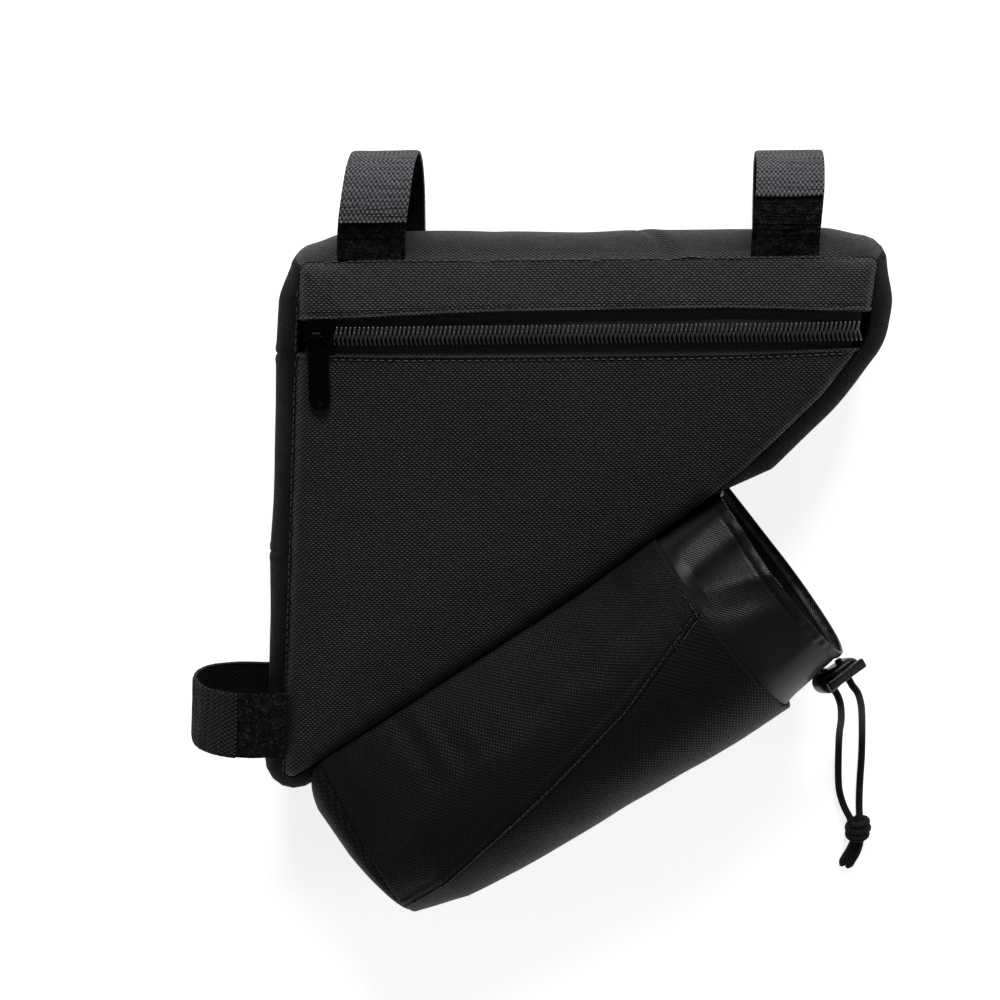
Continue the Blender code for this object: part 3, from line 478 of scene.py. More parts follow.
finishes = {
    "oxford": oxfordCloth("blackOxford", (0.0080, 0.0080, 0.0086)),
    # a lighter copy of the black oxford for the upper panel: painted light, where the panel tilts toward the lamp
    "oxfordLit": oxfordCloth("litUpperOxford", (0.0150, 0.0150, 0.0160), specular=0.42, gap=0.05, top=3.6),
    # a darker copy of the black oxford for the side wall: painted shade, where the wall faces away from the lamp
    "oxfordShaded": oxfordCloth("shadedSideOxford", (0.0028, 0.0028, 0.0030), specular=0.02, gap=0.05, top=3.2),
    # a lighter copy of the black oxford for the side wall's top edge: painted light, where it faces the lamp
    "oxfordEdgeLit": oxfordCloth("litEdgeOxford", (0.0095, 0.0095, 0.0102), 0.22, 0.55 * mm, gap=0.02, top=4.2),
    # a darker copy of the black oxford with a finer weave, for the pocket: painted shade
    "oxfordFineShaded": oxfordCloth("shadedPocketOxford", (0.0050, 0.0050, 0.0054), 0.18, 0.22 * mm, 0.86 * mm, 0.78 * mm,
                              0.4, 1.9),
    # a lighter copy of the pocket's cloth for its closed end: painted light
    "oxfordEndLit": oxfordCloth("litEndOxford", (0.0100, 0.0100, 0.0107), 0.12, 0.14 * mm, 0.86 * mm, 0.78 * mm, 0.5, 1.6),
    "nylon": thinNylon("thinBlackNylon", (0.0056, 0.0056, 0.0060)),
    "zipTape": tapeCloth("zipTapeWeave", (0.0240, 0.0240, 0.0250), 1.2 * mm, 1.0 * mm, 0.12 * mm, 0.8, 0.2, 0.8),
    "hook": tapeCloth("hookTapeWeave", (0.066, 0.066, 0.072), 1.66 * mm, 2.5 * mm, 0.38 * mm, 0.85, 0.1, 0.7),
    # a darker copy of the hook tape for the seat strap: painted shade
    "hookShaded": tapeCloth("shadedSeatTapeWeave", (0.017, 0.017, 0.019), 1.66 * mm, 2.5 * mm, 0.30 * mm, 0.8, 0.08, 0.8),
    "lining": tapeCloth("hookTapeBack", (0.0045, 0.0045, 0.0047), 1.66 * mm, 2.5 * mm, 0.2 * mm, 0.6, 0.1, 0.85),
    "pile": brushedLoops("pileLoops", (0.0022, 0.0022, 0.0023)),
    "coil": mouldedPlastic("zipCoil", (0.0040, 0.0040, 0.0042), 0.20, 1.0, 1.0),
    "enamel": enamelMetal("blackEnamel", (0.0006, 0.0006, 0.0006)),
    "acetal": mouldedPlastic("blackAcetal", (0.0012, 0.0012, 0.0013), 0.26, 0.3),
    "cord": braidedCord("elasticBraid", (0.0062, 0.0062, 0.0064), 2.1 * mm),
    "thread": sewingThread("paleThread", (0.040, 0.040, 0.043)),
    "pocketThread": sewingThread("greyThread", (0.020, 0.020, 0.022)),
    "darkThread": sewingThread("blackThread", (0.008, 0.008, 0.009)),
}
print("finishes ready")


# the drawcord's two strands, from the hem through the lock to the knot
cordSizes = {"diameter": 2.8 * mm}
leftRoute = [
    (0.12223, -0.06770, 0.04016), (0.12443, -0.07152, 0.04016), (0.12662, -0.07533, 0.04016),
    (0.12802, -0.07776, 0.04016), (0.1293, -0.0815, 0.0385), (0.1306, -0.0875, 0.0310), (0.1316, -0.0930, 0.0215),
    (0.1323, -0.0985, 0.0120), (0.1329, -0.1045, 0.0050), (0.1332, -0.1110, 0.0021), (0.1333, -0.1180, 0.0016),
    (0.1338, -0.1250, 0.0016), (0.1356, -0.1312, 0.0018), (0.1384, -0.1366, 0.0030)]
rightRoute = [
    (0.12805, -0.06436, 0.03704), (0.13024, -0.06817, 0.03704), (0.13244, -0.07198, 0.03704),
    (0.13383, -0.07441, 0.03704), (0.1362, -0.0778, 0.0355), (0.1384, -0.0840, 0.0280), (0.1400, -0.0905, 0.0185),
    (0.1413, -0.0975, 0.0095), (0.1421, -0.1045, 0.0038), (0.1423, -0.1120, 0.0018), (0.1420, -0.1190, 0.0016),
    (0.1418, -0.1260, 0.0016), (0.1418, -0.1315, 0.0018), (0.1419, -0.1357, 0.0031)]


def smoothRoute(points, steps):
    # a Catmull-Rom line through the points
    p = np.array(points, float)
    p = np.concatenate([[2 * p[0] - p[1]], p, [2 * p[-1] - p[-2]]])
    line = []
    for i in range(1, len(p) - 2):
        for t in np.arange(steps) / steps:
            line.append(0.5 * (2 * p[i] + (p[i + 1] - p[i - 1]) * t
                               + (2 * p[i - 1] - 5 * p[i] + 4 * p[i + 1] - p[i + 2]) * t ** 2
                               + (3 * p[i] - p[i - 1] - 3 * p[i + 1] + p[i + 2]) * t ** 3))
    line.append(p[-2])
    return np.array(line)


def evenRoute(line, spacing):
    runs = lengths(line)
    return sampled(line, runs, np.linspace(0, runs[-1], max(2, int(runs[-1] / spacing)) + 1)), runs[-1]


def cordTube(name, line, diameter, material, sides=14, swell=None):
    # a tube along a line, closed at both ends, with a map round and along it
    tangents = np.gradient(line, axis=0)
    tangents /= np.linalg.norm(tangents, axis=1, keepdims=True)
    side = np.cross(tangents[0], (0, 0, 1))
    if np.linalg.norm(side) < 0.1:
        side = np.cross(tangents[0], (1, 0, 0))
    rows = []
    angles = 2 * np.pi * np.arange(sides) / sides
    for i, (place, ahead) in enumerate(zip(line, tangents)):
        side = unit(side - ahead * (side @ ahead))
        up = np.cross(side, ahead)
        radius = diameter / 2 * (1 if swell is None else swell[i])
        rows.append(place + radius * (np.cos(angles)[:, None] * side + np.sin(angles)[:, None] * up))
    uv = np.stack(np.meshgrid(np.arange(sides + 1) / sides, lengths(line)), axis=-1)
    piece = clothPiece(name, np.array(rows), uv, material, closed=True)
    tube = piece.data
    places = [tuple(v.co) for v in tube.vertices]
    ends = [list(range(sides))[::-1], list(range(len(places) - sides, len(places)))]
    loops = [tuple(l.uv) for l in tube.uv_layers["cloth"].data] + [(0.0, 0.0)] * (2 * sides)
    piece.data = clothMesh(name, places, [list(f.vertices) for f in tube.polygons] + ends, material, loops)
    facing(piece)
    return piece


def facing(piece):
    # turn every face outwards
    pick(piece)
    bpy.ops.object.mode_set(mode="EDIT")
    bpy.ops.mesh.select_all(action="SELECT")
    bpy.ops.mesh.normals_make_consistent(inside=False)
    bpy.ops.object.mode_set(mode="OBJECT")


# the knot: two wraps round the strands and two short tails
knotSizes = {
    "start": (0.1411, -0.1362, 0.0042), "ahead": (0.02, -0.999, -0.03),
    "radius": 3.8 * mm, "flat": 0.60, "turns": 2.6, "rise": 6.6 * mm, "sway": 1.5 * mm,
    "cord": 3.1 * mm, "tailCord": 3.6 * mm,
    "tails": [
        [(0.1384, -0.1360, 0.0030), (0.1396, -0.1395, 0.0036), (0.1403, -0.1440, 0.0034), (0.1388, -0.1490, 0.0022),
         (0.1368, -0.1528, 0.0017), (0.1350, -0.1562, 0.0017)],
        [(0.1419, -0.1350, 0.0031), (0.1417, -0.1395, 0.0040), (0.1420, -0.1450, 0.0034), (0.1410, -0.1500, 0.0022),
         (0.1392, -0.1536, 0.0017), (0.1374, -0.1570, 0.0017)]]}


def knotPieces():
    ahead = unit(np.array(knotSizes["ahead"]))
    side = unit(np.cross(ahead, (0, 0, 1)))
    t = np.linspace(0, 1, 84)
    angle = 2 * np.pi * knotSizes["turns"] * t + 0.6
    radius = knotSizes["radius"] * (0.78 + 0.22 * np.sin(np.pi * t))
    forward = 0.6 * mm + knotSizes["rise"] * t + knotSizes["sway"] * np.sin(angle + 0.5)
    wrap = (np.array(knotSizes["start"]) + ahead * forward[:, None] + side * (radius * np.cos(angle))[:, None]
            + np.cross(side, ahead) * (knotSizes["flat"] * radius * np.sin(angle))[:, None])
    wrap[:, 2] = np.maximum(wrap[:, 2], 1.5 * mm)  # clear of the floor
    pieces = [cordTube("knotWrap", wrap, knotSizes["cord"], finishes["cord"])]
    for k, tail in enumerate(knotSizes["tails"]):
        line = evenRoute(smoothRoute(tail, 8), 0.7 * mm)[0]
        ends = np.minimum(1, np.sqrt(np.clip((np.arange(len(line))[::-1] + 0.3) / 3.0, 0, 1)))
        pieces.append(cordTube(f"knotTail{k + 1}", line, knotSizes["tailCord"], finishes["cord"], swell=ends))
    return pieces


knotParts = knotPieces()
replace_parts(knotParts[0], "cord_knot")
cords = []
for name, route, node in (("leftStrand", leftRoute, "drawcord_left"), ("rightStrand", rightRoute, "drawcord_right")):
    line, length = evenRoute(smoothRoute(route, 8), cordSizes["diameter"] * 0.35)
    strand = cordTube(name, line, cordSizes["diameter"], finishes["cord"])
    cords.append((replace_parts(strand, node), line, length))
print("cords laid")


# the front panels
panelSizes = {
    "wall": 1.4 * mm, "tuck": 2.7 * mm, "topTuck": 0.5 * mm, "tuckReach": 1.9 * mm,
    # heights that follow the zip's hem: distance, width, amount
    "hem": [(2.3 * mm, 0.55 * mm, -0.35 * mm), (1.0 * mm, 0.7 * mm, 0.6 * mm)],
    # slack in the cloth: size, seed, amount, distance from the seam
    "slack": [(42 * mm, 3, 0.55 * mm, 20 * mm), (14 * mm, 4, 0.22 * mm, 8 * mm)]}


def rowShares(count, crowd=0.6):
    # shares from 0 to 1, closer together at both ends
    t = np.linspace(0, 1, count)
    return t - crowd * np.sin(2 * np.pi * t) / (2 * np.pi)


def seamPuckers(away, run, seed):
    # small gathers that a seam's thread pulls into the cloth
    line = np.stack([run, 0 * run, 0 * run], axis=-1)
    ripple = softNoise(line, 5.5 * mm, seed) + 0.5 * softNoise(line, 2.4 * mm, seed + 1)
    return 0.35 * mm * ripple * np.exp(-away / (7 * mm)) * (1 - np.exp(-away / (1.0 * mm)))


def seamTuck(run):
    # how deep the front seam is drawn in: shallow along the top, away from its corners
    upward = np.interp(run, seamRun, np.clip((seamOut[:, 1] - 0.9) / 0.08, 0, 1))
    ends = np.min([np.abs(np.interp(run, seamRun, seam[:, 0]) - cornerPlace(i)[0]) for i in (0, 1)], axis=0)
    upward = upward * np.clip((ends - 10 * mm) / (14 * mm), 0, 1)
    return panelSizes["tuck"] - (panelSizes["tuck"] - panelSizes["topTuck"]) * upward


def foldedEdge(distance, radius):
    # how far a folded edge turns down near its rim
    t = np.clip(distance / radius, 0, 1)
    return radius * (1 - np.sqrt(1 - (1 - t) ** 2))


def frontPanel(name, upper, rows, columns):
    shares, across = rowShares(rows), rowShares(columns, 0.7)
    x = np.zeros((rows, columns))
    bottom = np.full_like(x, seam[:, 1].min() + 0.6 * mm)
    for _ in range(14):  # until the rows and columns settle between the curved edges
        low = zipEdge(x, True) if upper else bottom
        high = topEdge(x) if upper else zipEdge(x, False)
        y = low + (high - low) * shares[:, None]
        level = np.minimum(y, cornerPlace(0)[1] - 0.15 * mm)
        x = leftEdge(level) + (rightEdge(y) - leftEdge(level)) * across[None]
    flat, place = np.stack([x, y], axis=-1), np.stack([x, y, 0 * x], axis=-1)
    away, run = nearSeam(flat)
    fromHem = np.abs(y - zipEdge(x, upper))
    z = crownHeight(flat, away) - seamTuck(run) * np.exp(-(away / panelSizes["tuckReach"]) ** 1.3)
    z -= foldedEdge(fromHem, 0.9 * mm) * 1.6
    for distance, width, amount in panelSizes["hem"]:
        z += amount * bell(fromHem - distance, width)
    z += seamPuckers(away, run, 5 if upper else 9)
    for size, seed, amount, reach in panelSizes["slack"]:
        z += amount * softNoise(place, size, seed) * np.minimum(away / reach, 1)
    if not upper:
        z -= 0.5 * mm * np.exp(-fromHem / (6 * mm)) * (0.5 + 0.5 * softNoise(place, 18 * mm, 8))
    # the upper panel takes the lighter copy of the cloth: painted light
    piece = clothPiece(name, np.stack([x, y, z], axis=-1), flat, finishes["oxfordLit" if upper else "oxford"],
                       wall=panelSizes["wall"], inside=(0, 0, 0.02))
    return piece


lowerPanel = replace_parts(frontPanel("lowerPanel", False, 150, 170), "front_lower_panel")
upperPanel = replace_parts(frontPanel("upperPanel", True, 44, 200), "front_upper_panel")
print("front panels shaped")


# the side wall and the back panel
gussetSizes = {
    "rows": 34, "power": 2.44, "wall": 1.4 * mm, "joins": [52.0 * mm, -24.5 * mm],
    # how far its edges reach in under the panels, and the step down or up there
    "skirt": 1.6 * mm, "skirtSteps": (0.3 * mm, -1.2 * mm),
    # across, lean, depth, reach
    "puckers": [
        (62.0 * mm, 0.35, 0.9 * mm, 2.2 * mm), (70.0 * mm, 0.5, -0.6 * mm, 3.5 * mm),
        (-8.0 * mm, -0.2, 0.4 * mm, 5.0 * mm)]}


def gussetBulge(points):
    bulge = bag["bulge"] * np.ones(len(points))
    for index, least, reach in bag["pinches"]:
        near = np.minimum(np.linalg.norm(points - cornerPlace(index)[None], axis=1) / reach, 1)
        bulge = bulge * (least + (1 - least) * near * near * (3 - 2 * near))
    for across, down, amount, reach in bag["fuller"]:
        spot = np.array([bag["left"] + across * bag["length"], bag["top"] - down * bag["drop"]])
        bulge = bulge + amount * bell(np.linalg.norm(points - spot[None], axis=1), reach)
    along, beyond = (points - lowCorner) @ slopeAlong, (points - lowCorner) @ slopeOut
    room = pocketLine - bag["gap"] - beyond + 0.3 * np.maximum(0, along - pocketMouth - pocket["collar"])
    return np.minimum(bulge, room + 9 * mm * np.clip(1 - along / (11 * mm), 0, 1))  # free before the pocket


def besideSeam(far):
    # distance along the seam from its place that is least far
    return ((seamRun - seamRun[far.argmin()] + seamTotal / 2) % seamTotal - seamTotal / 2)[None]


def makeGusset():
    low, high = 2.6 * mm, bag["depth"] - bag["wall"]
    shares = rowShares(gussetSizes["rows"], 0.5)[:, None]
    heights = low + (high - low) * shares + 0 * seamRun
    edge = np.minimum(shares, 1 - shares) * (high - low)
    full = gussetBulge(seam)[None] * (1 - np.abs(2 * shares - 1) ** gussetSizes["power"])
    rim = bell((1 - shares) * (high - low), 2.2 * mm) * (panelSizes["tuck"] - seamTuck(seamRun))[None]
    line = np.stack([0 * heights + seamRun, heights, 0 * heights], axis=-1)
    loose = 1 - 0.9 * np.clip((((seam - lowCorner) @ slopeOut) / (4 * mm)), 0, 1)[None]
    out = full + loose * (0.7 * mm * softNoise(line, 26 * mm, 21) * np.minimum(edge / (10 * mm), 1)
                          + 0.4 * mm * softNoise(line, 6 * mm, 22) * np.exp(-edge / (7 * mm))
                          * (1 - np.exp(-edge / (3 * mm))))
    # joins across the side wall, which fade before its rim, and a pucker in its top
    for level in gussetSizes["joins"]:
        off = np.abs(besideSeam(np.where(seam[:, 0] < -60 * mm, np.abs(seam[:, 1] - level), 1.0)))
        fold = 0.3 * mm * bell(off - 2 * mm, 1.4 * mm) - 0.7 * mm * bell(off, 0.7 * mm)
        out = out + fold * np.clip(edge / (3 * mm), 0, 1)
    for across, lean, amount, reach in gussetSizes["puckers"]:
        off = besideSeam(np.where(seam[:, 1] > 60 * mm, np.abs(seam[:, 0] - across), 1.0)) - lean * (heights - high)
        out = out - amount * bell(off, reach) * np.clip((heights - 14 * mm) / (18 * mm), 0, 1)
    out = np.maximum(out, 0.55 * full)
    grid = np.concatenate([seam[None] + seamOut[None] * out[..., None], (heights + 0.9 * rim)[..., None]], axis=-1)
    rims = [np.column_stack([grid[k, :, :2] - seamOut * gussetSizes["skirt"], grid[k, :, 2] + step])[None]
            for k, step in zip((0, -1), gussetSizes["skirtSteps"])]
    grid = np.concatenate([rims[0], grid, rims[1]])
    v = np.concatenate([[0], np.cumsum(np.linalg.norm(np.diff(grid, axis=0), axis=2).mean(axis=1))])
    uv = np.stack(np.meshgrid(np.append(seamRun, seamTotal), v), axis=-1)
    # the side wall takes the darker copy of the cloth: painted shade
    piece = clothPiece("sideWall", grid, uv, finishes["oxfordShaded"], closed=True, wall=gussetSizes["wall"],
                       inside=(0, 20 * mm, 25 * mm))
    # the cloth along the top edge is a piece of its own, joined at the corners; its faces take a lighter copy of the
    # cloth, painted light where the top edge faces the lamp
    piece.data.materials.append(finishes["oxfordEdgeLit"])
    a, b = cornerPlace(0), cornerPlace(1)
    for face in piece.data.polygons:
        x, y = face.center.x, face.center.y
        if y - a[1] > 0.9 * (a[0] - x) - 1 * mm and y - b[1] > 0.7 * (x - b[0]) - 1 * mm and y > 84 * mm:
            face.material_index = 1
    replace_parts(piece, "gusset")
    return piece


def makeBack():
    # rings from its rim to its middle: inset and height
    middle = np.array((-12 * mm, 24 * mm))
    rings = [(seam - seamOut * inset * mm, height) for inset, height in ((0, 2.4), (0.0, 1.4), (0.5, 0.5), (1.6, 0.0))]
    rings += [(middle + (seam - middle) * (1 - inset / 60), 0.0) for inset in (6.0, 20.0, 45.0)]
    grid = np.array([np.column_stack([ring, np.full(len(seam), height * mm)]) for ring, height in rings])
    uv = np.concatenate([grid[..., :2], grid[:, :1, :2]], axis=1)
    piece = clothPiece("backPanel", grid, uv, finishes["oxford"], closed=True, inside=(0, 20 * mm, 20 * mm),
                       capEnd=True)
    thicken(piece, 1.4 * mm)
    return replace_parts(piece, "back_panel")


sideWall = makeGusset()
backPanel = makeBack()
print("bag body shaped")


# the round pocket
def pocketHalf(along):
    # half its width and half its height
    size = table(pocket["sections"], (along - pocket["start"]) / pocket["length"], 1)
    return pocket["width"] / 2 * size, pocket["height"] / 2 * size


def seamAngle(along, upper):
    share = (along - pocket["start"]) / pocket["length"]
    return math.radians(float(table(pocket["sections"], share, 2 if upper else 3)))


pocketTilt = math.atan2(pocketHalf(pocketMouth)[1] - pocketHalf(pocket["start"])[1], pocket["length"])
facingSlope = seamOut @ slopeOut > 0.3


def leaned(along, reach, height):
    # the closed end is cut on a slant, which fades out along the pocket
    fade = np.clip(1 - (along - pocket["start"]) / (90 * mm), 0, 1) ** 2
    slant = fade * (pocket["endReach"] - pocket["endSlant"] * reach - pocket["start"])
    return along + slant - math.tan(pocketTilt) * (height - pocketHalf(along)[1])


def ringPlace(along, reach, height):
    place = leaned(along, reach, height)
    x, y = (lowCorner[k] + slopeAlong[k] * place + slopeOut[k] * reach for k in (0, 1))
    return np.stack([x, y, height + 0 * reach], axis=-1)


def gussetReach(along, height):
    # how far the side wall comes towards the pocket
    along = leaned(along, 8 * mm, height)
    low, high = 2.8 * mm, bag["depth"] - bag["wall"] - bag["gap"]
    share = np.clip((height - low) / (high - low), 0, 1)
    bulge = gussetBulge(seam[facingSlope]) * (1 - abs(2 * share - 1) ** gussetSizes["power"])
    places = seam[facingSlope] + seamOut[facingSlope] * bulge[:, None]
    a, b = (places - lowCorner) @ slopeAlong, (places - lowCorner) @ slopeOut
    order = np.argsort(a)
    return max(0.0, float(np.interp(along, a[order], b[order])))


def touchAngle(along, reach, height, wide, tall):
    # where a line from a place on the side wall touches the ring
    dx = reach - pocketLine - pocketHalf(along)[0]
    dy = (height - pocketHalf(along)[1]) * wide / tall
    spread = math.acos(min(1, wide / math.hypot(dx, dy)))
    toward = math.atan2(dy, dx) % (2 * math.pi)
    return toward - spread if dy > 0 else toward + spread


def pocketRun(along, angles):
    # ring places at these angles, with the cloth's slack
    wide, tall = pocketHalf(along)
    place = np.stack([along + 0 * angles, angles * wide, 0 * angles], axis=-1)
    slack = 0.7 * mm * softNoise(place, 34 * mm, 31) + 0.3 * mm * softNoise(place, 12 * mm, 32)
    reach = pocketLine + wide + (wide + slack) * np.cos(angles)
    return reach, np.maximum(tall + (tall + slack) * np.sin(angles), 0.2 * mm)


pocketRows = np.linspace(pocket["start"], pocketMouth, 120)
pocketMiddle = ringPlace(90 * mm, pocketLine + pocketHalf(90 * mm)[0], pocketHalf(90 * mm)[1])


def pocketPiece(name, rows):
    # the pocket takes the darker copy of the cloth: painted shade
    return clothPiece(name, rows, evenUv(rows), finishes["oxfordFineShaded"], wall=pocket["wall"] * 0.8, inside=pocketMiddle)


def sewnPanel(name, upper):
    # round from the pocket's seam, then flat to the bag's front or back seam
    rows = []
    for along in pocketRows:
        wide, tall = pocketHalf(along)
        height = bag["depth"] - bag["wall"] if upper else 0.5 * mm
        reach = gussetReach(along, height) + 0.5 * mm
        start = seamAngle(along, upper) if upper else 2 * math.pi - seamAngle(along, upper)
        angles = np.linspace(start, touchAngle(along, reach, height, wide, tall), 44)
        arcReach, arcHeight = pocketRun(along, angles)
        t = np.linspace(0, 1, 34)[1:]
        if upper:
            hem = np.linspace(0, 1, 44) * abs(angles[-1] - start) * wide
            lift = 0.55 * mm * np.clip(1 - (hem - 4.5 * mm) / (1.2 * mm), 0, 1)
            lift -= 0.4 * mm * bell(hem - 2.0 * mm, 0.5 * mm) + foldedEdge(hem, 0.5 * mm)
            arcReach, arcHeight = arcReach + lift * np.cos(angles), arcHeight + lift * np.sin(angles)
        flatReach = arcReach[-1] + (reach - arcReach[-1]) * t
        flatHeight = arcHeight[-1] + (height - arcHeight[-1]) * t
        if upper:
            swell = np.clip((along - 60 * mm) / (90 * mm), 0, 1)
            line = np.stack([along + 0 * t, 8 * mm * t, 0 * t], axis=-1)
            flatHeight += np.sin(np.pi * t) * 2.5 * mm * swell
            flatHeight += 0.5 * mm * softNoise(line, 7 * mm, 41) * np.sin(np.pi * t) ** 0.5
        rows.append(ringPlace(along, np.append(arcReach, flatReach), np.append(arcHeight, flatHeight)))
    rows = np.array(rows)
    if not upper:
        rows[..., 2] = np.maximum(rows[..., 2], 0.1 * mm)
    return pocketPiece(name, rows)


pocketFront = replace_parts(sewnPanel("pocketFront", True), "pocket_front_panel")
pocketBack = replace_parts(sewnPanel("pocketBack", False), "pocket_back_panel")
sideRows = [ringPlace(along, *pocketRun(along, np.linspace(-seamAngle(along, False), seamAngle(along, True), 110)))
            for along in pocketRows]
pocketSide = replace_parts(pocketPiece("pocketSide", np.array(sideRows)), "pocket_side_panel")


def sleeveRing(along, inset, count=220):
    # an even closed ring with its flat side against the gusset
    wide, tall = (half - inset for half in pocketHalf(along))
    top, base = bag["depth"] - bag["wall"] - inset, 0.3 * mm + inset
    heights = np.linspace(top, base, 24)
    wall = [gussetReach(along, h) + 0.7 * mm for h in heights]
    angles = np.linspace(touchAngle(along, wall[-1], base, wide, tall) - 2 * math.pi,
                         touchAngle(along, wall[0], top, wide, tall), 160)
    reach = np.concatenate([pocketLine + pocketHalf(along)[0] + wide * np.cos(angles), wall])
    height = np.concatenate([pocketHalf(along)[1] + tall * np.sin(angles), heights])
    ring = np.column_stack([np.append(reach, reach[0]), np.append(height, height[0])])
    runs = lengths(ring)
    return sampled(ring, runs, np.linspace(0, runs[-1], count + 1)[:-1]).T


# how far the closed end domes, from the bag's slope outwards
endDome = ([0, 0.22, 0.5, 0.75, 1], [1.75, 1.98, 1.6, 0.95, 0.45])


def pocketEnd():
    along = pocket["start"] - 0.2 * mm
    reach, height = sleeveRing(along, 0.0)
    centreReach, centreHeight = (reach.min() + reach.max()) / 2, pocketHalf(along)[1]
    rows, maps = [], []
    for turn in np.linspace(0, 0.47 * math.pi, 24):
        size = math.cos(turn) ** 0.6
        r = centreReach + (reach - centreReach) * size
        h = centreHeight + (height - centreHeight) * size
        place = ringPlace(along, r, np.maximum(h, 0.1 * mm))
        inward = (r - reach.min()) / (reach.max() - reach.min())
        depth = pocket["dome"] * np.interp(inward, *endDome) + 0.5 * mm * softNoise(place, 17 * mm, 51)
        place[:, :2] -= np.outer(depth * math.sin(turn) - 0.5 * mm * bell(1 - size, 0.02), slopeAlong)
        rows.append(place)
        maps.append(np.stack([np.append(r, r[0]), np.append(h, h[0])], axis=-1))
    # the closed end takes the lighter copy of the cloth: painted light
    piece = clothPiece("pocketEnd", np.array(rows), np.array(maps), finishes["oxfordEndLit"], closed=True,
                       inside=ringPlace(60 * mm, centreReach, centreHeight), capEnd=True)
    thicken(piece, pocket["wall"] * 0.7)
    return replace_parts(piece, "pocket_end_panel")


pocketEndPiece = pocketEnd()

collarSizes = {
    "tuck": 8.0 * mm, "wall": 0.9 * mm, "play": 2.1 * mm, "cinch": 2.8 * mm, "most": 1.6 * mm,
    # how far it is drawn in, along it
    "drawn": ([0, 0.3, 0.65, 0.85, 1.0], [0, 0.35, 0.8, 1.0, 1.0]),
    # folds that the drawcord gathers near the bag's slope: place, shift along it, width, amount
    "folds": [(0.045, 0, 0.030, 1.1), (0.135, 0, 0.045, -1.7), (0.21, 0.15, 0.045, 1.2), (0.33, 0.15, 0.05, -0.7)]}


def makeCollar():
    whole = collarSizes["tuck"] + pocket["collar"]
    rows = []
    for share in np.linspace(0, 1, 84):
        along = pocketMouth - collarSizes["tuck"] + whole * share
        shown = max(0.0, (share * whole - collarSizes["tuck"]) / pocket["collar"])
        inset = collarSizes["play"] + collarSizes["cinch"] * np.interp(shown, *collarSizes["drawn"])
        reach, height = sleeveRing(along, inset, 340)
        centre, middle = pocketLine + pocketHalf(along)[0], pocketHalf(along)[1]
        angle = np.arctan2(height - middle, reach - centre)
        wall = gussetReach(along, 27 * mm)
        out = (reach - wall) / (pocketLine + pocket["width"] - wall)
        front = np.clip((height - middle) / (8 * mm), 0, 1)
        free = np.clip((reach - wall - 2 * mm) / (6 * mm), 0, 1)
        ridge = sum(amount * bell(out - place - shift * shown, width)
                    for place, shift, width, amount in collarSizes["folds"])
        line = np.stack([angle * 37 * mm, 11 * mm * shown + 0 * angle, 0 * angle], axis=-1)
        slack = 0.55 * softNoise(line, 15 * mm, 61) + 0.25 * softNoise(line, 7 * mm, 62)
        hem, stitch = bell(shown - 0.93, 0.06), -0.25 * bell(shown - 0.86, 0.02)
        gathers = 0.35 * softNoise(line * np.array([1, 0.2, 1]), 2.8 * mm, 63) * hem
        offset = (ridge * front * (0.5 + 0.5 * shown) + slack) * min(1.0, shown / 0.16) + 0.35 * hem + gathers + stitch
        offset = np.minimum(offset * mm, collarSizes["most"]) * free
        rows.append(ringPlace(along, reach + offset * np.cos(angle),
                              np.maximum(height + offset * np.sin(angle), 0.3 * mm)))
    grid = np.array(rows)
    inner = ringPlace(pocketMouth, pocketLine + pocketHalf(pocketMouth)[0], pocketHalf(pocketMouth)[1])
    piece = clothPiece("pocketCollar", grid, evenUv(np.concatenate([grid, grid[:, :1]], axis=1)), finishes["nylon"],
                       closed=True, wall=collarSizes["wall"], inside=inner)
    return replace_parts(piece, "pocket_collar")


collar = makeCollar()
print("pocket shaped")


# the hook-and-loop straps
strapSizes = {
    "width": 25.0 * mm, "reach": 38.0 * mm, "pile": 1.6 * mm, "hook": 1.2 * mm,
    # reach, depth and lean shares of the loop's side view
    "loop": [
        (0.008, 0.966, 0.00), (0.15, 0.985, 0.00), (0.38, 1.020, 0.10), (0.64, 0.975, 0.32), (0.86, 0.830, 0.52),
        (0.97, 0.640, 0.68), (1.00, 0.480, 0.78), (0.97, 0.330, 0.86), (0.86, 0.175, 0.94), (0.62, 0.068, 1.00),
        (0.34, 0.044, 1.00), (0.12, 0.041, 1.00), (0.008, 0.041, 1.00)],
    # name, node, place along its edge, bare pile, lean, share of the full reach
    "straps": [
        ("topLeft", "top_left", 0.1245, 14.7 * mm, 6.2 * mm, 0.99),
        ("topRight", "top_right", 0.838, 22.6 * mm, 4.6 * mm, 0.955),
        ("seat", "seat", 0.884, 18.1 * mm, 0.0, 0.95)],
}


def tapePly(name, base, along, out, path, lean, offset, thick, material, seed, lining=None):
    # a flat tape with rounded edges round the loop's line
    line = path[:, :2]
    tangent = np.gradient(line, axis=0)
    tangent /= np.linalg.norm(tangent, axis=1, keepdims=True)
    normal = np.stack([-tangent[:, 1], tangent[:, 0]], axis=1)
    across = rowShares(26, 0.8) - 0.5
    edge = 0.35 * mm * np.clip((np.abs(across) - 0.44) / 0.06, 0, 1) ** 2
    rows = []
    for i, place in enumerate(path):
        spots = np.stack([across * 25 * mm, 0 * across + i * 0.9 * mm, 0 * across], axis=-1)
        far = offset + thick - edge + 0.25 * mm * softNoise(spots, 9 * mm, seed)
        reach = np.maximum(line[i, 0] + normal[i, 0] * far, 0.1 * mm)
        shift = along[None] * (across * strapSizes["width"] + lean * place[2])[:, None]
        rows.append(np.column_stack([base[None] + shift + out[None] * reach[:, None], line[i, 1] + normal[i, 1] * far]))
    uv = np.stack(np.meshgrid(across * strapSizes["width"], lengths(line)), axis=-1)
    centre = np.append(base + out * strapSizes["reach"] * 0.5, bag["depth"] * 0.5)
    return clothPiece(name, np.array(rows), uv, material, wall=thick, inside=centre, lining=lining)


